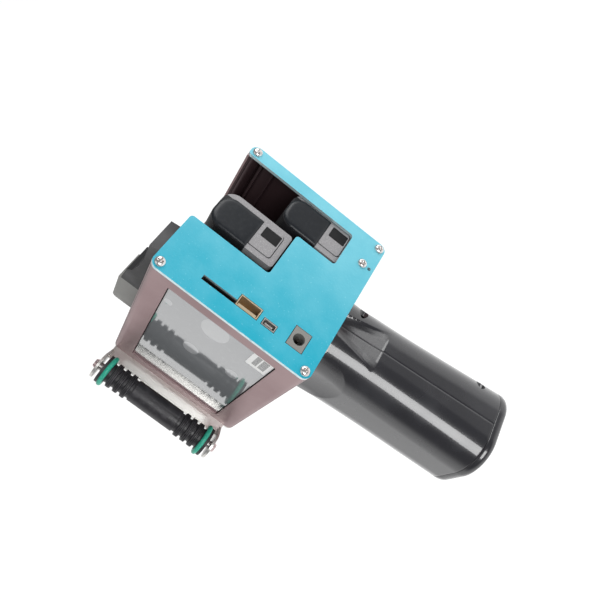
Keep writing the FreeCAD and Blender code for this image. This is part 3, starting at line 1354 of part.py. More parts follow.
def check_model():
    """Stop if any object failed, or a sub-part is empty or broken."""
    for item in DOC.Objects:
        if "Invalid" in item.State or "Error" in item.State:
            raise ValueError(f"{item.Label} failed: {item.State}")
    for item in NODES:
        if item.Shape.isNull() or not item.Shape.isValid() or not item.Shape.Solids:
            raise ValueError(f"{item.Label} has no sound shape")


def main():
    """Build every sub-part, check the model and write one file for each node."""
    for maker in MAKERS:
        maker()
    for name, x, z in STALLS:
        make_cartridge(name, x, z)
    for name, side in SIDES:
        make_roller(name, side)
    DOC.recompute()
    check_model()
    os.makedirs("parts", exist_ok=True)
    for item in NODES:
        item.Shape.exportStep(f"parts/{item.Label}.step")
        print(item.Label, len(item.Shape.Solids), round(item.Shape.Volume, 1))


main()
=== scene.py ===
"""Looks for a hand-held date code printer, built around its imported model, in metres."""
import math

import bmesh
import bpy
import numpy as np
from mathutils import Matrix, Vector


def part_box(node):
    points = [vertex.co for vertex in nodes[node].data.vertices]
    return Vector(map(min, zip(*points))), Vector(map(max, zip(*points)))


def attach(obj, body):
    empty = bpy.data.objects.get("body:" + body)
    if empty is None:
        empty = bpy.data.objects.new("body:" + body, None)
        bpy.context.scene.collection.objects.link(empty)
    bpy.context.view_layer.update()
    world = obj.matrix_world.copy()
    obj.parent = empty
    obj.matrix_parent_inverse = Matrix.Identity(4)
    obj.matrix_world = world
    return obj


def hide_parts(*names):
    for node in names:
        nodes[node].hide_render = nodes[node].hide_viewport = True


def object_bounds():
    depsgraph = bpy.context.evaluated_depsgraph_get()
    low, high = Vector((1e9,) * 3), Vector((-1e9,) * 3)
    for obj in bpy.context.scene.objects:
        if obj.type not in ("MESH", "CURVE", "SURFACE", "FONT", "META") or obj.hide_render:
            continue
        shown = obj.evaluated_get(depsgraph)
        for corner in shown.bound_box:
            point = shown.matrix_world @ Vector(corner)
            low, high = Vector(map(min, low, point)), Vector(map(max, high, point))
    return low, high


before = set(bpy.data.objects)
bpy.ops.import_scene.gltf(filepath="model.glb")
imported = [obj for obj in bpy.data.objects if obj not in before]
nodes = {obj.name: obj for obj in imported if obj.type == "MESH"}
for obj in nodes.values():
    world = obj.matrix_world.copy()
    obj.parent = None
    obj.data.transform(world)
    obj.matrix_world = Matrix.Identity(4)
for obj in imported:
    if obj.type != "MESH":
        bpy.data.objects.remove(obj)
cad_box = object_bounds()


# ---------------------------------------------------------------- rear plate
# The rear plate is 2 mm aluminium sheet with a stepped opening for the two cartridges. It is
# sprayed cyan: the paint is thin, slightly mottled, and rubbed through to pale metal on its edges.

class Wire:
    """One socket of a material. Arithmetic on wires adds Math nodes; node() adds any other node."""

    def __init__(self, tree, socket=None):
        self.tree = tree
        self.socket = socket

    def node(self, kind, settings=None, sockets=None, take=0):
        """Add a node: its settings first, then a value or a wire for each named or numbered socket."""
        made = self.tree.nodes.new(kind)
        for name, value in (settings or {}).items():
            setattr(made, name, value)
        for name, value in (sockets or {}).items():
            if isinstance(value, Wire):
                self.tree.links.new(value.socket, made.inputs[name])
            else:
                made.inputs[name].default_value = value
        return Wire(self.tree, made.outputs[take])

    def maths(self, operation, first, second=0.0):
        """A Math node on two values or wires."""
        return self.node("ShaderNodeMath", {"operation": operation}, {0: first, 1: second})

    def __add__(self, other):
        return self.maths("ADD", self, other)

    __radd__ = __add__

    def __sub__(self, other):
        return self.maths("SUBTRACT", self, other)

    def __rsub__(self, other):
        return self.maths("SUBTRACT", other, self)

    def __mul__(self, other):
        return self.maths("MULTIPLY", self, other)

    __rmul__ = __mul__

    def __abs__(self):
        return self.maths("ABSOLUTE", self)

    def __gt__(self, other):
        return self.maths("GREATER_THAN", self, other)

    def __lt__(self, other):
        return self.maths("LESS_THAN", self, other)

    def between(self, low, high):
        """0 below low, 1 above high, and a smooth rise from one to the other."""
        settings = {"interpolation_type": "SMOOTHSTEP"}
        return self.node("ShaderNodeMapRange", settings, {0: self, 1: low, 2: high})

    def axis(self, letter):
        """One coordinate of a vector."""
        return self.node("ShaderNodeSeparateXYZ", None, {0: self}, "XYZ".index(letter))

    def stretched(self, x, y, z):
        """The same coordinates with each axis scaled."""
        return self.node("ShaderNodeMapping", None, {"Vector": self, "Scale": (x, y, z)})

    def noise(self, per_metre, detail=3.0, roughness=0.5):
        """Soft noise from 0 to 1 with that many grains in a metre."""
        sockets = {"Vector": self, "Scale": per_metre, "Detail": detail, "Roughness": roughness}
        return self.node("ShaderNodeTexNoise", None, sockets)

    def grains(self, per_metre, take="Color"):
        """Cells of random grey, that many in a metre."""
        sockets = {"Vector": self, "Scale": per_metre}
        cells = self.node("ShaderNodeTexVoronoi", None, sockets, take)
        return cells.axis("X") if take == "Color" else cells

    def pick(self, low_colour, high_colour):
        """The first colour where this wire is 0, the second where it is 1. Either may be a wire."""
        sockets = {0: self, 6: low_colour, 7: high_colour}
        return self.node("ShaderNodeMix", {"data_type": "RGBA"}, sockets, 2)

    def squared(self):
        """This wire times itself."""
        return self.maths("MULTIPLY", self, self)


def new_finish(name, **constants):
    """A material with fixed values on its shader, and the wires of its place and its face direction."""
    material = bpy.data.materials.new(name)
    material.use_nodes = True
    shader = material.node_tree.nodes["Principled BSDF"]
    for socket, value in constants.items():
        shader.inputs[socket.replace("_", " ")].default_value = value
    start = Wire(material.node_tree)
    place = start.node("ShaderNodeTexCoord", take="Object")
    facing = start.node("ShaderNodeTexCoord", take="Normal")
    return material, place, facing


def feed(material, height=None, depth=0.0001, **wires):
    """Lead wires to the shader's sockets, and a height, through a Bump node, to its normal."""
    shader = material.node_tree.nodes["Principled BSDF"]
    for socket, wire in wires.items():
        material.node_tree.links.new(wire.socket, shader.inputs[socket.replace("_", " ")])
    if height is not None:
        sockets = {"Strength": 1.0, "Distance": depth, "Height": height}
        bump = height.node("ShaderNodeBump", None, sockets)
        material.node_tree.links.new(bump.socket, shader.inputs["Normal"])


def dress(material, *names):
    """Put a material on CAD nodes or on new pieces."""
    for name in names:
        piece = nodes[name] if isinstance(name, str) else name
        piece.data.materials.clear()
        piece.data.materials.append(material)


def sprayed_plate():
    """Cyan paint: mottled colour, painted light that lightens it towards +X and the top, fine orange peel,
    pale metal on faces that don't look to the rear.
    """
    paint, place, facing = new_finish("cyan_paint", Coat_Weight=0.25, Coat_Roughness=0.12)
    mottle = place.noise(42.0, 4.0, 0.6).between(0.35, 0.7)
    # Painted light: a gradient lightens the cyan towards +X and, a little, towards the top.
    painted_light_gradient = place.axis("X").between(-0.05, 0.06) * 0.75 + place.axis("Z").between(0.1, 0.21) * 0.05
    colour = (mottle * 0.2 + painted_light_gradient).pick((0.010, 0.400, 0.545, 1), (0.200, 0.620, 0.740, 1))
    speck = place.noise(900.0, 2.0).between(0.66, 0.72)
    colour = (speck * 0.25).pick(colour, (0.35, 0.80, 0.88, 1))
    edge = 1 - abs(facing.axis("Y")).between(0.55, 0.9)
    chips = place.noise(260.0, 3.0).between(0.25, 0.5)
    bare = edge * (0.45 + 0.55 * chips)
    colour = bare.pick(colour, (0.66, 0.82, 0.84, 1))
    peel = place.noise(650.0, 2.0)
    feed(paint, peel, 0.00006, Base_Color=colour, Roughness=0.34 + 0.12 * mottle, Metallic=bare * 0.55)
    return paint


dress(sprayed_plate(), "rear_plate")


# ---------------------------------------------------------------- rear plate screws
# Five M3 pan head machine screws hold the plate. They are zinc plated steel with a cross recess:
# the heads are domed and lie on the paint, and their threads run into the posts of the housing.

def grid_mesh(name, points, wrap=False):
    """A mesh on a grid of points, rows by columns by 3. Wrap joins each row's end to its start."""
    rows, columns = points.shape[:2]
    index = np.arange(rows * columns).reshape(rows, columns)
    ahead = np.roll(index, -1, axis=1) if wrap else index[:, 1:]
    here = index if wrap else index[:, :-1]
    quads = np.stack([here[:-1], ahead[:-1], ahead[1:], here[1:]], axis=-1).reshape(-1, 4)
    mesh = bpy.data.meshes.new(name)
    mesh.from_pydata(points.reshape(-1, 3).tolist(), [], quads.tolist())
    return mesh


def new_piece(name, meshes, smooth=40.0):
    """One object from meshes: points that meet are merged and faces are turned outwards.

    Bends under the given angle are shaded smooth.
    """
    whole = bmesh.new()
    for mesh in meshes:
        whole.from_mesh(mesh)
        bpy.data.meshes.remove(mesh)
    bmesh.ops.remove_doubles(whole, verts=whole.verts, dist=1e-6)
    bmesh.ops.recalc_face_normals(whole, faces=whole.faces)
    mesh = bpy.data.meshes.new(name)
    whole.to_mesh(mesh)
    whole.free()
    mesh.shade_smooth()
    mesh.set_sharp_from_angle(angle=math.radians(smooth))
    piece = bpy.data.objects.new(name, mesh)
    bpy.context.scene.collection.objects.link(piece)
    return piece


def centre_of(low, high):
    """The middle of a box."""
    return np.array([(a + b) / 2 for a, b in zip(low, high)])


plate_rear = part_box("rear_plate")[0].y
screw_head_radius = 0.0029
screw_head_height = 0.0019
shank_radius = 0.00148
screw_length = 0.009


def pan_head(x, z):
    """A screw as a turned form: the profile goes out over the domed head, under it, along the shank.

    The head's height is (1 - (r/R)^2.6) to the power 0.45, less a cross-shaped recess whose depth
    falls off smoothly with the distance from the nearer of two crossing lines and from the axis.
    """
    out = np.linspace(0, 1, 34)
    dome = screw_head_height * (1 - out ** 2.6 * 0.999) ** 0.45
    radii = np.concatenate([out * screw_head_radius, [screw_head_radius, shank_radius, shank_radius, 0.0]])
    heights = np.concatenate([dome, [0.0, 0.0, -screw_length, -screw_length]])
    angles = np.linspace(0, 2 * np.pi, 96, endpoint=False)
    across = radii[:, None] * np.cos(angles)
    up = radii[:, None] * np.sin(angles)
    arm = np.minimum(abs(across), abs(up))
    reach = np.maximum(abs(across), abs(up))
    inside = np.clip((0.00034 - arm) / 0.00012, 0, 1) * np.clip((0.0017 - reach) / 0.0003, 0, 1)
    centre_hole = np.clip((0.0008 - np.hypot(across, up)) / 0.0003, 0, 1)
    recess = 0.0011 * np.maximum(inside, centre_hole)
    on_head = (np.arange(len(radii)) < len(out))[:, None]
    depth = heights[:, None] - np.where(on_head, recess, 0)
    points = np.stack([x + across, plate_rear - depth, z + up], axis=-1)
    return grid_mesh("screw", points, wrap=True)


def plated_steel(name, colour, brownish_tone):
    """Bright plating: faint turned rings and scratches, brownish in the patches of a noise."""
    steel, place, _facing = new_finish(name, Metallic=1.0)
    cloud = place.noise(700.0, 3.0).between(0.4, 0.75)
    scratch = place.stretched(1.0, 1.0, 9.0).noise(1600.0, 4.0, 0.7)
    feed(steel, scratch, 0.00002, Base_Color=cloud.pick(colour, brownish_tone), Roughness=0.16 + 0.2 * scratch)
    return steel


head_low, head_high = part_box("rear_plate_screws")
screw_steel = plated_steel("screw_steel", (0.82, 0.81, 0.80, 1), (0.60, 0.50, 0.47, 1))
earth_screw = (0.030, 0.118)
screw_places = [
    (side * (head_high.x - screw_head_radius), z)
    for side in (-1, 1)
    for z in (head_low.z + screw_head_radius, head_high.z - screw_head_radius)
] + [earth_screw]
rear_screws = new_piece("pan_head_screws", [pan_head(x, z) for x, z in screw_places])
dress(screw_steel, rear_screws)
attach(rear_screws, "root")
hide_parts("rear_plate_screws")
dress(screw_steel, "front_plate_screws", "grip_screws", "grip_mount_screws")


# ---------------------------------------------------------------- head housing
# The head is one aluminium extrusion, cut to length and anodised a pinkish bronze. The die leaves
# fine lines along Y; the cut ends are paler, and the hollow inside is painted dark as painted shade.

def anodised_extrusion():
    """Bronze anodising: lines along Y, soft cloudiness, and painted shade that darkens the hollow inside."""
    bronze, place, facing = new_finish("anodised_bronze", Metallic=0.55)
    along = place.stretched(1.0, 0.02, 1.0)
    lines = along.noise(1500.0, 3.0, 0.6)
    cloud = place.noise(28.0, 3.0).between(0.3, 0.75)
    outside = (0.4 * lines + 0.6 * cloud).pick((0.285, 0.185, 0.190, 1), (0.395, 0.280, 0.285, 1))
    housing_low, housing_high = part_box("housing")
    skin = 0.0012
    middle = centre_of(housing_low, housing_high)
    in_x = abs(place.axis("X") - middle[0]) < (housing_high.x - middle[0] - skin)
    in_z = abs(place.axis("Z") - middle[2]) < (housing_high.z - middle[2] - skin)
    # Painted shade: the inside walls of the hollow, where shade falls, are coloured near-black.
    painted_shade_inside = in_x * in_z * (1 - abs(facing.axis("Y")).between(0.5, 0.9))
    colour = painted_shade_inside.pick(outside, (0.060, 0.034, 0.037, 1))
    feed(bronze, lines, 0.00003, Base_Color=colour, Roughness=0.36 + 0.16 * lines)
    return bronze


dress(anodised_extrusion(), "housing")


# ---------------------------------------------------------------- print plate and its ears
# The print plate is 2 mm stainless sheet: its wings are folded back into four ears that carry the
# roller axles. It is brushed along Z and has faint rub marks from the cartons it slides on.

def brushed_sheet(name, colour, dark, squash=(1.0, 1.0, 0.02), roughness=0.26):
    """Brushed sheet metal: hairlines along one axis, a few long scratches and soft smears."""
    sheet, place, _facing = new_finish(name, Metallic=0.85)
    hairs = place.stretched(*squash).noise(2600.0, 3.0, 0.7)
    smear = place.noise(60.0, 3.0).between(0.35, 0.7)
    feed(sheet, hairs, 0.00002, Base_Color=(0.6 * smear + 0.4 * hairs).pick(dark, colour),
         Roughness=roughness + 0.14 * hairs + 0.08 * smear)
    return sheet


stainless = brushed_sheet("stainless", (0.80, 0.79, 0.76, 1), (0.62, 0.61, 0.58, 1))
dress(stainless, "front_plate", "grip_mount_plate", "display_panel")


# ---------------------------------------------------------------- touch display
# A 4.3 inch touch display is set in the side wall. Its dark glass still wears the thin protective
# film, with a few blisters of air under it, and a small ruled label is stuck near one corner.

glass_low, glass_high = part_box("display_glass")
film_gap = 0.00005
film_lift = 0.00012

# Each blister: middle Y and Z, half sizes along Y and Z, and rise.
BLISTERS = (
    (-0.0089, 0.1606, 0.0105, 0.0085, 0.00022),
    (0.0276, 0.1650, 0.0060, 0.0052, 0.00016),
    (0.0227, 0.1383, 0.0050, 0.0042, 0.00016),
    (-0.0034, 0.1887, 0.0030, 0.0026, 0.00012),
)


def film_surface():
    """Film over the glass: height is a faint sag wave plus blisters, each (1 - d^2)^0.6 of an ellipse."""
    rows, columns = 150, 220
    y = np.linspace(glass_low.y + 0.0006, glass_high.y - 0.0006, columns)
    z = np.linspace(glass_low.z + 0.0006, glass_high.z - 0.0006, rows)
    y, z = np.meshgrid(y, z)
    height = 0.00001 * np.sin(y * 140 + 2.0) * np.cos(z * 90)
    for mid_y, mid_z, half_y, half_z, rise in BLISTERS:
        near = np.clip(1 - ((y - mid_y) / half_y) ** 2 - ((z - mid_z) / half_z) ** 2, 0, 1)
        height = height + rise * near ** 0.6
    x = glass_low.x - film_gap - film_lift - height
    front = np.stack([x, y, z], axis=-1)
    back = front.copy()
    back[..., 0] = glass_low.x - film_gap
    rims = []
    for sheet in (front, back):
        rims.append(np.concatenate([sheet[0], sheet[1:, -1], sheet[-1, -2::-1], sheet[-2:0:-1, 0]]))
    return [grid_mesh("film", front), grid_mesh("film", back), grid_mesh("film", np.stack(rims), wrap=True)]


def film_finish():
    """Filmed glass: a dark grey sheet with a strong smooth reflection, and paler dry blisters."""
    coat = {"Coat_Weight": 1.0, "Coat_Roughness": 0.03, "Coat_IOR": 1.7}
    film, place, _facing = new_finish("screen_film", IOR=2.1, **coat)
    y = place.axis("Y")
    z = place.axis("Z")
    blister = None
    for mid_y, mid_z, half_y, half_z, _rise in BLISTERS:
        spread = ((y - mid_y) * (1 / half_y)).squared() + ((z - mid_z) * (1 / half_z)).squared()
        spot = 1 - spread.between(0.86, 1.04)
        blister = spot if blister is None else blister.maths("MAXIMUM", blister, spot)
    dust = place.noise(240.0, 5.0, 0.65).between(0.5, 0.8)
    colour = (0.55 * blister + 0.12 * dust).pick((0.200, 0.211, 0.219, 1), (0.50, 0.51, 0.52, 1))
    feed(film, place.noise(70.0, 2.0), 0.00008, Base_Color=colour,
         Roughness=0.07 + 0.08 * dust + 0.10 * blister)
    return film


screen_film = new_piece("screen_film", film_surface())
dress(film_finish(), screen_film, "display_glass")
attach(screen_film, "root")


def flat_tile(low_y, high_y, low_z, high_z, face_x, thick, corner=0.0006):
    """A thin tile facing -X: a rounded outline, as rows from its middle out, over its edge and back."""
    turn = np.linspace(0, 2 * np.pi, 48, endpoint=False) + 1e-4
    half_y, half_z = (high_y - low_y) / 2, (high_z - low_z) / 2
    y = np.clip(np.cos(turn) * 4, -1, 1) * (half_y - corner) + corner * np.cos(turn)
    z = np.clip(np.sin(turn) * 4, -1, 1) * (half_z - corner) + corner * np.sin(turn)
    rows = [(0.0, 0), (1.0, 0), (1.0, thick), (0.0, thick)]
    points = [np.stack([np.full_like(y, face_x + deep), (low_y + high_y) / 2 + y * share,
                        (low_z + high_z) / 2 + z * share], axis=-1) for share, deep in rows]
    return grid_mesh("tile", np.stack(points), wrap=True)


label_low_y, label_high_y = -0.0180, -0.0020
label_low_z, label_high_z = 0.1262, 0.1386
label_lift = 0.00022
label_thick = 0.0001
label_face = glass_low.x - film_gap - film_lift - label_lift


def label_finish():
    """White paper with two plain panels of even dark rules; no lettering."""
    paper, place, _facing = new_finish("label_paper", Roughness=0.55)
    y = place.axis("Y")
    z = place.axis("Z")
    in_panel = (y > label_low_y + 0.0022) * (y < label_high_y - 0.0030)
    in_panel = in_panel * (z > label_low_z + 0.0018) * (z < label_high_z - 0.0028)
    angle = y * 5600.0
    rules = angle.maths("SINE", angle) > -0.35
    split = abs(z - (label_low_z + label_high_z) / 2) > 0.00045
    ink = in_panel * rules * split
    fibre = place.noise(1800.0, 3.0)
    colour = (ink * 0.92 + 0.08 * fibre).pick((0.90, 0.90, 0.89, 1), (0.06, 0.06, 0.065, 1))
    feed(paper, fibre, 0.00003, Base_Color=colour)
    return paper


label_form = flat_tile(label_low_y, label_high_y, label_low_z, label_high_z, label_face, label_thick)
label = new_piece("screen_label", [label_form])
dress(label_finish(), label)
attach(label, "root")


# ---------------------------------------------------------------- black mouldings
# Small structural mouldings are black ABS: bezel, sensor foot, switch bodies, carrier and tanks.
# They have a fine spark-eroded grain and slightly shiny high spots where they have been handled.

def moulded(name, colour, pale, roughness, grain=2400.0):
    """Moulded plastic: an even grain in the surface, with soft patches rubbed smoother."""
    plastic, place, _facing = new_finish(name)
    texture = place.noise(grain, 2.0, 0.6)
    rubbed = place.noise(55.0, 4.0).between(0.45, 0.75)
    feed(plastic, texture, 0.00004, Base_Color=(0.35 * texture + 0.5 * rubbed).pick(colour, pale),
         Roughness=roughness - 0.12 * rubbed + 0.1 * texture)
    return plastic


black_plastic = moulded("black_plastic", (0.018, 0.018, 0.020, 1), (0.050, 0.050, 0.054, 1), 0.5)
dress(black_plastic, "display_bezel", "power_switch_body", "trigger_switch", "trigger_carrier",
      "encoder_pickup", "grip_neck_insert", "cartridge_1_tank", "cartridge_2_tank", "sensor_base", "trigger")


# ---------------------------------------------------------------- product sensor
# The sensor on top looks for the next carton. Its head is a separate grey moulding, satin and a
# little warm in colour, and its lens is a deep red filter that passes infra-red light.

grey_plastic = moulded("grey_plastic", (0.230, 0.230, 0.215, 1), (0.300, 0.300, 0.285, 1), 0.42, 1800.0)
dress(grey_plastic, "sensor_head", "dc_jack_body")


def lens_filter():
    """Deep red filter with faint turning rings."""
    filter_red, place, _facing = new_finish("lens_filter", Coat_Weight=1.0, Coat_Roughness=0.02)
    smoke = place.noise(500.0, 2.0)
    feed(filter_red, smoke, 0.00001, Base_Color=smoke.pick((0.05, 0.004, 0.006, 1), (0.16, 0.012, 0.018, 1)),
         Roughness=0.08 + 0.06 * smoke)
    return filter_red


dress(lens_filter(), "sensor_lens")


# ---------------------------------------------------------------- connectors
# The ports stand on the main board and show through the plate: a charger jack, a small port, a
# gold plated full-size port and a card slot. Their shells are folded from thin plated strip.

lengthwise = (1.0, 1.0, 0.3)
endwise = (1.0, 0.1, 1.0)
gold = brushed_sheet("gold_plate", (0.88, 0.74, 0.54, 1), (0.66, 0.52, 0.34, 1), lengthwise, 0.30)
nickel = brushed_sheet("nickel_plate", (0.78, 0.77, 0.74, 1), (0.52, 0.50, 0.47, 1), endwise, 0.24)
dress(gold, "usb_socket", "usb_tongue", "board_standoffs", "cartridge_1_contacts", "cartridge_2_contacts",
      "cartridge_1_nozzle_plate", "cartridge_2_nozzle_plate")
# Painted shade: the card socket's shell lies in shade inside its slot, so it is made near-black steel; the
# jack's pin gets the same dark steel.
near_black, deeper_shade_black = (0.050, 0.045, 0.040, 1), (0.02, 0.018, 0.015, 1)
shade_dark_steel = brushed_sheet("painted_shade_steel", near_black, deeper_shade_black, endwise, 0.45)
dress(nickel, "mini_usb_socket")
dress(shade_dark_steel, "card_socket", "dc_jack_pin")
white_plastic = moulded("white_plastic", (0.68, 0.68, 0.65, 1), (0.80, 0.80, 0.78, 1), 0.45)
dress(white_plastic, "battery_end_plates")
pale_plastic = moulded("pale_plastic", (0.62, 0.62, 0.57, 1), (0.76, 0.76, 0.72, 1), 0.4)
dress(pale_plastic, "power_slider")


# ---------------------------------------------------------------- circuit boards
# Two glass-fibre boards carry the works: green solder resist over copper tracks, which show as
# slightly raised, paler lines, with tinned pads.

def circuit_board():
    """Green solder resist over square-laid tracks, with small tinned pads."""
    board, place, _facing = new_finish("circuit_board", Coat_Weight=0.5, Coat_Roughness=0.15)
    y = place.axis("Y")
    z = place.axis("Z")
    lanes = place.grains(160.0)
    radians_per_metre = 4200.0
    along_y = z.maths("SINE", z * radians_per_metre) > 0.2
    along_z = y.maths("SINE", y * radians_per_metre) > 0.2
    upright = lanes > 0.5
    track = along_z * upright + along_y * (1 - upright)
    pads = place.grains(420.0, "Distance") < 0.16
    green = (0.8 * track).pick((0.010, 0.085, 0.035, 1), (0.022, 0.170, 0.070, 1))
    colour = pads.pick(green, (0.62, 0.60, 0.55, 1))
    feed(board, track + pads, 0.00004, Base_Color=colour, Metallic=pads * 0.9, Roughness=0.38 - 0.1 * pads)
    return board


dress(circuit_board(), "main_board", "driver_board")


# ---------------------------------------------------------------- cartridge stalls and cartridges
# Each ink cartridge slides into a moulded stall, black but for a sparkling grey rim on its right
# and below. The cartridge ends in a smooth black domed lid over a grey bar with a pull window.

bar_height = 0.0139


def sparkling_plastic(name, all_grey):
    """Spark-eroded plastic whose single grains glint.

    On a stall only the rim is grey, and only on its right and below the lid; the rest is black.
    """
    stall, place, _facing = new_finish(name, Specular_IOR_Level=0.4)
    grain = place.noise(3600.0, 2.0, 0.7)
    glint = place.grains(3000.0).between(0.7, 0.95)
    grey = (0.5 * grain + 0.5 * glint).pick((0.245, 0.238, 0.245, 1), (0.480, 0.470, 0.480, 1))
    colour = grey
    if not all_grey:
        masks = []
        for body in ("cartridge_1", "cartridge_2"):
            low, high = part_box(f"{body}_lid")
            beside = place.axis("X") > high.x - 0.0004
            near = (place.axis("X") < high.x + 0.005) * (place.axis("X") > low.x - 0.005)
            below = (place.axis("Z") < low.z + bar_height) * near
            masks.append(beside.maths("MAXIMUM", beside * near, below))
        mask = masks[0].maths("MAXIMUM", masks[0], masks[1])
        stall_low, _stall_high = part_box("cartridge_1_stall")
        mask = mask * (1 - place.axis("Y").between(stall_low.y + 0.004, stall_low.y + 0.006))
        dark = (0.5 * grain).pick((0.010, 0.010, 0.012, 1), (0.034, 0.034, 0.038, 1))
        colour = mask.pick(dark, grey)
    feed(stall, grain + 0.6 * glint, 0.00008, Roughness=0.55 - 0.2 * glint, Base_Color=colour)
    return stall


stall_plastic = sparkling_plastic("stall_plastic", False)
grey_frame = sparkling_plastic("grey_frame_plastic", True)
dress(stall_plastic, "cartridge_1_stall", "cartridge_2_stall")


def box_outline(low, high, broad, tight, count=96):
    """Points round a rectangle whose upper corners have a broad radius and lower ones a tight one."""
    parts = []
    for centre_x, centre_z, radius, start in (
        (high[0] - broad, high[1] - broad, broad, 0.0),
        (low[0] + broad, high[1] - broad, broad, 0.5 * math.pi),
        (low[0] + tight, low[1] + tight, tight, math.pi),
        (high[0] - tight, low[1] + tight, tight, 1.5 * math.pi),
    ):
        turn = start + np.linspace(0, 0.5 * math.pi, count // 4)
        parts.append(np.stack([centre_x + radius * np.cos(turn), centre_z + radius * np.sin(turn)], axis=-1))
    return np.concatenate(parts)


def rising_form(outline, rows):
    """A closed form from one outline: each row is (share of the outline's size, y)."""
    middle = (outline.min(0) + outline.max(0)) / 2
    points = []
    for share, y in rows:
        ring = middle + (outline - middle) * share
        points.append(np.stack([ring[:, 0], np.full(len(ring), y), ring[:, 1]], axis=-1))
    return grid_mesh("form", np.stack(points), wrap=True)


def glossy_lid():
    """Smooth black plastic with a slow ripple from moulding and a film of dust."""
    lid, place, _facing = new_finish("lid_plastic", Specular_IOR_Level=0.35)
    ripple = place.noise(95.0, 2.0)
    dust = place.noise(420.0, 6.0, 0.7).between(0.45, 0.8)
    colour = (0.5 * dust + 0.3 * ripple).pick((0.008, 0.010, 0.013, 1), (0.024, 0.028, 0.033, 1))
    feed(lid, ripple, 0.00008, Base_Color=colour, Roughness=0.30 + 0.18 * dust)
    return lid


lid_plastic = glossy_lid()
# Painted shade: a near-black tile stands for the shade inside each cartridge's pull window.
painted_shade_black = moulded("painted_shade_black", (0.003, 0.003, 0.004, 1), (0.007, 0.007, 0.008, 1), 0.75)


def cartridge_end(number):
    """Black domed lid with its plug, grey bar and pull window of one cartridge. The window is a near-black
    tile of painted shade.

    Each is rows of one box outline. The lid's height over its brim is 1 - s^14 of the outline's share s.
    """
    body = f"cartridge_{number}"
    low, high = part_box(f"{body}_lid")
    stall_low, stall_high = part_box(f"{body}_stall")
    seat = high.y - 0.0004
    split = low.z + bar_height
    lid_low = (stall_low.x + 0.0003, split + 0.0001)
    lid_high = (high.x + 0.0002, stall_high.z - 0.0003)
    lid_corner, lid_edge, dome_rise, tight_corner = 0.0080, 0.0003, 0.0009, 0.0004
    outline = box_outline(lid_low, lid_high, lid_corner, tight_corner)
    share = np.linspace(0.0, 1.0, 40)
    brim = stall_low.y - 0.0001
    dome = [(out, brim - lid_edge - dome_rise * (1 - out ** 14)) for out in share]
    lid = new_piece(f"{body}_domed_lid", [rising_form(outline, dome + [(1.0, brim), (0.0, brim)])])
    plug_corner = 0.0042
    outline = box_outline((low.x, low.z), (high.x, high.z), plug_corner, tight_corner)
    plug_rows = [(0.0, brim), (1.0, brim), (1.0, seat), (0.0, seat)]
    plug = new_piece(f"{body}_lid_plug", [rising_form(outline, plug_rows)])
    outline = box_outline((low.x - 0.0002, low.z), (high.x + 0.0002, split - 0.0001), 0.0005, 0.0019)
    bar_proud = 0.0004
    face = brim - bar_proud
    bar_rows = [(0.0, face), (0.985, face), (1.0, face + 0.0002), (1.0, brim), (0.0, brim)]
    bar = new_piece(f"{body}_grey_bar", [rising_form(outline, bar_rows)])
    window_low = ((low.x + high.x) / 2 - 0.0002, low.z + 0.0007)
    window_width, window_height, window_corner, window_proud = 0.0073, 0.0106, 0.0006, 0.00012
    window_high = (window_low[0] + window_width, window_low[1] + window_height)
    pit = box_outline(window_low, window_high, window_corner, window_corner)
    proud = face - window_proud
    pit_rows = [(0.0, proud), (0.97, proud), (1.0, proud + 0.0001), (1.0, brim), (0.0, brim)]
    window = new_piece(f"{body}_pull_window", [rising_form(pit, pit_rows)])
    for piece, finish, slot in (
        (lid, lid_plastic, "lid_plastic"), (plug, lid_plastic, "lid_plastic"),
        (bar, grey_frame, "stall_plastic"), (window, painted_shade_black, "black_plastic"),
    ):
        dress(finish, piece)
        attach(piece, body)
    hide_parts(f"{body}_lid")


for number in (1, 2):
    cartridge_end(number)


# ---------------------------------------------------------------- guide rollers
# Each roller has a turned steel core, a ribbed black rubber sleeve, two plastic end discs and two
# teal rubber rings that grip the carton. It turns on an axle bolted between the plate's ears.

def roller_rubber():
    """Black rubber: fine circumferential grinding marks, bloom in patches, worn shiny on high parts."""
    rubber, place, _facing = new_finish("roller_rubber", Specular_IOR_Level=0.55)
    rings = place.stretched(0.15, 0.15, 1.0).noise(2200.0, 3.0, 0.7)
    bloom = place.noise(180.0, 4.0, 0.6).between(0.4, 0.75)
    colour = (0.3 * rings + 0.6 * bloom).pick((0.016, 0.015, 0.018, 1), (0.060, 0.057, 0.064, 1))
    feed(rubber, rings, 0.00007, Base_Color=colour, Roughness=0.38 + 0.22 * bloom)
    return rubber


def ring_rubber():
    """Teal rubber with carton dust rubbed into the outside."""
    teal, place, _facing = new_finish("ring_rubber", Specular_IOR_Level=0.45)
    dust = place.noise(600.0, 4.0, 0.65).between(0.45, 0.75)
    feed(teal, dust, 0.00004, Base_Color=dust.pick((0.020, 0.400, 0.270, 1), (0.085, 0.500, 0.375, 1)),
         Roughness=0.34 + 0.2 * dust)
    return teal


rubber_black = roller_rubber()
ring_teal = ring_rubber()
axle_steel = brushed_sheet("axle_steel", (0.62, 0.61, 0.60, 1), (0.42, 0.41, 0.40, 1), (0.1, 0.1, 1.0), 0.28)
bolt_steel = plated_steel("bolt_steel", (0.62, 0.50, 0.50, 1), (0.40, 0.28, 0.29, 1))
dress(axle_steel, "encoder_magnet")


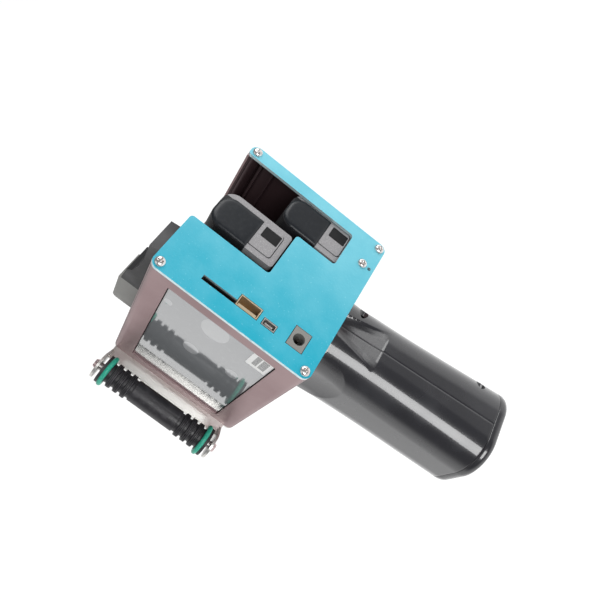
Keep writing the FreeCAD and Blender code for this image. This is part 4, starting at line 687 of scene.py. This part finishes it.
def sleeve_form(side):
    """A turned sleeve: its radius is a valley, a smooth middle, and three rounded ribs at each end.

    Each rib is a flat-topped bump, (1 - t^6)^0.5 of its half width, with two narrow grooves in its top.
    """
    low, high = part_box(f"{side}_roller_sleeve")
    middle = centre_of(low, high)
    half = (high.z - low.z) / 2
    height = np.linspace(-half, half, 620)
    away = abs(height)
    valley, middle_radius, rib_radius = 0.0064, 0.00725, 0.0082
    smooth_half, rib_pitch, first_rib = 0.017, 0.0053, 0.0036
    radius = np.full(height.shape, valley)
    rounding = np.clip((away - smooth_half + 0.0008) / 0.0008, 0, 1) ** 2
    radius = np.where(away < smooth_half, middle_radius - 0.0003 * rounding, radius)
    for rib in range(3):
        centre = smooth_half + rib_pitch * rib + first_rib
        share = np.clip(abs(away - centre) / 0.0018, 0, 1)
        bump = (1 - share ** 6) ** 0.5 * (rib_radius - valley)
        for groove in (-0.00052, 0.00052):
            bump = bump - 0.00045 * np.exp(-((away - centre - groove) / 0.00013) ** 2)
        radius = np.maximum(radius, valley + bump)
    inner = 0.0047
    profile_r = np.concatenate([[inner], radius, [inner], [inner]])
    profile_z = np.concatenate([[-half], height, [half], [-half]])
    turn = np.linspace(0, 2 * np.pi, 72, endpoint=False)
    points = np.stack([
        middle[0] + profile_r[:, None] * np.cos(turn),
        middle[1] + profile_r[:, None] * np.sin(turn),
        np.broadcast_to(middle[2] + profile_z[:, None], (len(profile_z), len(turn))),
    ], axis=-1)
    return new_piece(f"{side}_ribbed_sleeve", [grid_mesh("sleeve", points, wrap=True)])


for side in ("left", "right"):
    sleeve = sleeve_form(side)
    dress(rubber_black, sleeve)
    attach(sleeve, f"{side}_roller")
    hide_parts(f"{side}_roller_sleeve")
    dress(ring_teal, f"{side}_roller_o_rings")
    dress(black_plastic, f"{side}_roller_end_discs")
    dress(axle_steel, f"{side}_roller_core", f"{side}_axle")
    dress(bolt_steel, f"{side}_axle_bolts")


# ---------------------------------------------------------------- grip
# The grip is two glossy black mouldings that meet along its spine and front, screwed together
# across it. It leans forward and swells to a flat base; by the head it is scooped for the hand.

scoop_edge = 0.0790


def gloss_moulding():
    """Glossy black plastic: slow sink marks over ribs, fine handling scratches, greasy patches.

    The thin wall leaves little depth for the scoop, so a slope in the bump tilts its light further.
    """
    gloss, place, _facing = new_finish("grip_plastic", Coat_Weight=1.0, Coat_Roughness=0.06)
    sink = place.noise(26.0, 2.0)
    grease = place.noise(45.0, 2.0, 0.5).between(0.42, 0.75)
    hairs = place.stretched(1.0, 0.25, 0.12).noise(2400.0, 2.0, 0.7).between(0.62, 0.7)
    colour = (0.20 * grease + 0.08 * hairs).pick((0.020, 0.020, 0.024, 1), (0.060, 0.062, 0.070, 1))
    above_edge = place.axis("Z") - scoop_edge
    above_edge = above_edge.maths("MAXIMUM", above_edge, 0.0)
    reach = 0.0125 - 0.30 * above_edge
    web = (abs(place.axis("X")) < reach) * (place.axis("Y") < 0.0)
    feed(gloss, sink + 0.004 * hairs - 900.0 * above_edge * web, 0.0003,
         Base_Color=colour, Roughness=0.25 + 0.08 * grease)
    return gloss


grip_plastic = gloss_moulding()
grip_wall = 0.0026
grip_corner = 0.020
cap_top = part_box("grip_shell_left")[0].z
neck_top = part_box("grip_shell_left")[1].z
grip_lean = 0.019
section_heights = (0.0, 0.033, neck_top - 0.0385, neck_top)
half_widths = np.polyfit(section_heights, (0.0286, 0.0273, 0.0260, 0.0260), 3)
half_depths = np.polyfit(section_heights, (0.0270, 0.0280, 0.0290, 0.0310), 3)


def grip_section(height, share, inset):
    """Points and outward directions round one side of the grip, from its spine (0) to its front (1).

    The section is a rounded rectangle, walked by its length: half the rear face, a quarter
    circle, the flank, a quarter circle, half the front face. The inset draws the points inwards.
    """
    corner = grip_corner
    flat = np.polyval(half_widths, height) - corner
    flank = 2 * (np.polyval(half_depths, height) - corner)
    bend = corner * math.pi / 2
    walked = share * (2 * flat + 2 * bend + flank)
    turn_1 = np.clip((walked - flat) / corner, 0, math.pi / 2)
    turn_2 = np.clip((walked - flat - bend - flank) / corner, 0, math.pi / 2)
    x = np.clip(walked, 0, flat) + corner * np.sin(turn_1) - corner * (1 - np.cos(turn_2))
    x = x - np.clip(walked - flat - 2 * bend - flank, 0, flat)
    y = -np.polyval(half_depths, height) + corner * (1 - np.cos(turn_1)) + corner * np.sin(turn_2)
    y = y + np.clip(walked - flat - bend, 0, flank)
    out_x, out_y = np.sin(turn_1 + turn_2), -np.cos(turn_1 + turn_2)
    centre = grip_lean / neck_top * height
    return x - inset * out_x, y - inset * out_y, centre, out_x, out_y


def hand_scoops(x, y, height):
    """How deep the surface is scooped, from its place in the section.

    Over the spine, a scoop for the web of the hand starts at a crisp edge and deepens towards the
    head: a steep wall that rises as share^0.55, then a straight slope, with crisp sides. On each
    flank a shallow oval hollow takes a thumb or finger: depth x (1 - d^2)^0.8. The seam is a fine groove.
    """
    along = np.clip((height - scoop_edge) / (neck_top - scoop_edge), 0, 1)
    wall_height, wall_depth, slope_depth = 0.009, 0.0012, 0.0009
    wall = np.clip((height - scoop_edge) / wall_height, 0, 1) ** 0.55
    sides = np.clip((0.0150 - x - 0.0085 * along ** 0.7) / 0.0050, 0, 1) ** 0.6
    web = (wall_depth * wall + slope_depth * along) * sides * (y < 0)
    oval = np.clip(1 - ((y + 0.004) / 0.021) ** 2 - ((height - 0.099) / 0.017) ** 2, 0, 1)
    flank_depth, seam_depth, seam_width = 0.0021, 0.00015, 0.00030
    flank = flank_depth * oval ** 0.8 * np.clip((x - 0.014) / 0.008, 0, 1)
    seam = seam_depth * np.exp(-(x / seam_width) ** 2)
    return np.maximum(web, flank) + seam


def cut_away(piece, cutters):
    """Take closed shapes out of a piece with Boolean modifiers, and keep the result as its mesh."""
    for cutter in cutters:
        step = piece.modifiers.new("cut", "BOOLEAN")
        step.operation = "DIFFERENCE"
        step.object = cutter
        step.solver = "EXACT"
    bpy.context.view_layer.update()
    mesh = bpy.data.meshes.new_from_object(piece.evaluated_get(bpy.context.evaluated_depsgraph_get()))
    piece.modifiers.clear()
    piece.data = mesh
    for cutter in cutters:
        bpy.data.objects.remove(cutter)
    mesh.shade_smooth()
    mesh.set_sharp_from_angle(angle=math.radians(35))


def round_bar(start, end, radius):
    """A closed round bar between two points that share a Y and a Z."""
    turn = np.linspace(0, 2 * np.pi, 40, endpoint=False)
    rows = [(start[0], 0.0), (start[0], radius), (end[0], radius), (end[0], 0.0)]
    rings = []
    for x, reach in rows:
        y, z = start[1] + reach * np.cos(turn), start[2] + reach * np.sin(turn)
        rings.append(np.stack([np.full_like(turn, x), y, z], axis=-1))
    return new_piece("bar", [grid_mesh("bar", np.stack(rings), wrap=True)])


def grip_shell(name, side):
    """One shell: each row of the grid is a closed loop out along the outer wall and back along the inner.

    Strips close its two ends.
    """
    height = np.linspace(cap_top + 0.0002, neck_top, 210)[:, None]
    share = np.linspace(0, 1, 170)[None, :]
    x, y, centre, out_x, out_y = grip_section(height, share, 0.0)
    deep = hand_scoops(x, y, height)
    ease = 0.0002 * np.clip(1 - (height - cap_top) / 0.0003, 0, 1)
    outer = np.stack([x - (deep + ease) * out_x, y - (deep + ease) * out_y + centre, height + 0 * x], axis=-1)
    x, y, centre, _out_x, _out_y = grip_section(height, share, grip_wall)
    inner = np.stack([x, y + centre, height + 0 * x], axis=-1)
    for wall in (outer, inner):
        wall[..., 0] = side * np.maximum(wall[..., 0], 0.00004)
    loop = np.concatenate([outer, inner[:, ::-1]], axis=1)
    ends = [grid_mesh("end", np.stack([outer[row], inner[row]])) for row in (0, -1)]
    return new_piece(name, [grid_mesh("walls", loop, wrap=True), *ends], 35)


screw_low, screw_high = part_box("grip_screws")
trigger_low, trigger_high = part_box("trigger")
trigger_half = 0.0075
trigger_gap = 0.0004
flange_lip = 0.0020
grip_screw_head = 0.0024
well_radius = 0.0029
well_floor = 0.0080
high_screw_y = -0.0095
front_screw_z = 0.0550
for side_name, side in (("left", -1), ("right", 1)):
    shell = grip_shell(f"glossy_shell_{side_name}", side)
    opening_low = (-trigger_half - trigger_gap, trigger_low.z + flange_lip - trigger_gap)
    opening_high = (trigger_half + trigger_gap, trigger_high.z - flange_lip + trigger_gap)
    opening = box_outline(opening_low, opening_high, 0.001, 0.001)
    opening_rows = [(0.0, 0.032), (1.0, 0.032), (1.0, 0.07), (0.0, 0.07)]
    cutters = [new_piece("opening", [rising_form(opening, opening_rows)])]
    if side > 0:
        low_well = (screw_low.y + grip_screw_head, screw_low.z + grip_screw_head)
        high_well = (high_screw_y, screw_high.z - grip_screw_head)
        front_well = (screw_high.y - grip_screw_head, front_screw_z)
        for y, z in (low_well, high_well, front_well):
            cutters.append(round_bar((well_floor, y, z), (0.05, y, z), well_radius))
    cut_away(shell, cutters)
    dress(grip_plastic, shell)
    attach(shell, "root")
    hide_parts(f"grip_shell_{side_name}")


def base_cap():
    """The cap: the grip's section, drawn in by a profile of (height, inset) pairs.

    The profile starts at the middle of the base, rounds its edge and leaves a shadow gap at the top.
    """
    share = np.linspace(0, 1, 120)
    rows = []
    foot_edge = ((0.0, 0.0300), (0.0, 0.0034), (0.0002, 0.0022), (0.0008, 0.0012),
                 (0.0018, 0.0004), (0.0032, 0.0))
    top_edge = ((cap_top - 0.0003, 0.0), (cap_top - 0.0001, 0.0002), (cap_top, 0.0004), (cap_top, 0.0060))
    profile = foot_edge + top_edge
    for height, inset in profile:
        if inset > grip_corner:
            x, y, centre = 0 * share, 0 * share, 0.0
        else:
            x, y, centre, _out_x, _out_y = grip_section(height, share, inset)
        right = np.stack([x, y + centre, 0 * x + height], axis=-1)
        left = right[::-1] * (-1, 1, 1)
        rows.append(np.concatenate([right[:-1], left[:-1]]))
    return new_piece("grip_foot", [grid_mesh("foot", np.stack(rows), wrap=True)], 50)


foot = base_cap()
dress(grip_plastic, foot)
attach(foot, "root")
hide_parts("grip_base_cap")


# ---------------------------------------------------------------- batteries and spring
# Four shrink-wrapped cells stand in the grip between white end plates. The trigger's return
# spring is hard drawn wire.

def cell_wrap():
    """Blue shrink film: slight wrinkles along the cell and a glossy face."""
    wrap, place, _facing = new_finish("cell_wrap", Coat_Weight=0.7, Coat_Roughness=0.1)
    wrinkle = place.stretched(1.0, 1.0, 0.2).noise(420.0, 3.0)
    feed(wrap, wrinkle, 0.0002, Base_Color=wrinkle.pick((0.02, 0.10, 0.28, 1), (0.05, 0.19, 0.44, 1)),
         Roughness=0.3 + 0.15 * wrinkle)
    return wrap


dress(cell_wrap(), "battery_cells")
dress(axle_steel, "trigger_spring")


# ---------------------------------------------------------------- studio
# The printer hangs in the middle of a large bowl: no floor near it, so it casts no shadow. Its far
# side glows white as a broad light and its camera side is dark.

def sweep_form():
    """A bowl: flat to its shoulder, then a quarter circle up to a wall. One profile turned about Z."""
    flat, curve, wall, drop = 1.6, 0.9, 2.6, 0.8
    bend = np.linspace(-0.5 * math.pi, 0, 24)
    radii = np.concatenate([[0.0, 0.3, 0.8, flat], flat + curve * np.cos(bend), [flat + curve]])
    heights = np.concatenate([[0.0, 0.0, 0.0, 0.0], curve + curve * np.sin(bend), [wall]]) - drop
    turn = np.linspace(0, 2 * np.pi, 96, endpoint=False)
    points = np.stack([radii[:, None] * np.cos(turn), radii[:, None] * np.sin(turn),
                       np.broadcast_to(heights[:, None], (len(heights), len(turn)))], axis=-1)
    return new_piece("studio_sweep", [grid_mesh("sweep", points, wrap=True)])


sweep = sweep_form()
paper, place, _facing = new_finish("glowing_studio_backdrop", Roughness=0.8, Emission_Strength=0.85)
# The bowl's far side glows white as a broad light; its camera side is dark, so glossy parts reflect dark
# there.
near_side = (-0.54 * place.axis("X") - 0.84 * place.axis("Y")).between(0.35, 1.4)
feed(paper, Base_Color=near_side.pick((0.30, 0.30, 0.30, 1), (0.10, 0.10, 0.10, 1)),
     Emission_Color=near_side.pick((1, 1, 1, 1), (0.10, 0.10, 0.105, 1)))
dress(paper, sweep)

world = bpy.data.worlds.new("studio_air")
world.use_nodes = True
world.node_tree.nodes["Background"].inputs["Color"].default_value = (1, 1, 1, 1)
world.node_tree.nodes["Background"].inputs["Strength"].default_value = 0.25
bpy.context.scene.world = world
bpy.context.scene.view_settings.view_transform = "Standard"

camera_place = Vector((-0.1796, -0.2837, 0.1677))
camera_right = Vector((0.469, -0.401, -0.787)).normalized()
camera_back = Vector((-0.539, -0.836, 0.104))
camera_back = (camera_back - camera_right * camera_back.dot(camera_right)).normalized()
camera_up = camera_back.cross(camera_right)


def soft_light(name, direction, distance, size, power):
    """A square area light that looks at the head from a direction given in the camera's axes."""
    middle = Vector(centre_of(*cad_box))
    away = (camera_right * direction[0] + camera_up * direction[1] + camera_back * direction[2]).normalized()
    data = bpy.data.lights.new(name, "AREA")
    data.shape = "SQUARE"
    data.size = size
    data.energy = power
    lamp = bpy.data.objects.new(name, data)
    lamp.location = middle + away * distance
    lamp.rotation_euler = away.to_track_quat("Z", "Y").to_euler()
    bpy.context.scene.collection.objects.link(lamp)


soft_light("front_light", (0.246, -0.10, 0.916), 0.95, 0.45, 4.6)
soft_light("key_light", (0.10, 1.0, 0.38), 0.9, 0.5, 3.0)
soft_light("fill_light", (-1.0, 0.1, 0.9), 1.1, 0.9, 1.5)

camera_data = bpy.data.cameras.new("camera")
camera_data.lens = 35.43
camera_data.sensor_width = 36.0
camera_data.clip_start = 0.01
camera = bpy.data.objects.new("camera", camera_data)
turned = Matrix((camera_right, camera_up, camera_back)).transposed()
camera.matrix_world = Matrix.Translation(camera_place) @ turned.to_4x4()
bpy.context.scene.collection.objects.link(camera)
bpy.context.scene.camera = camera
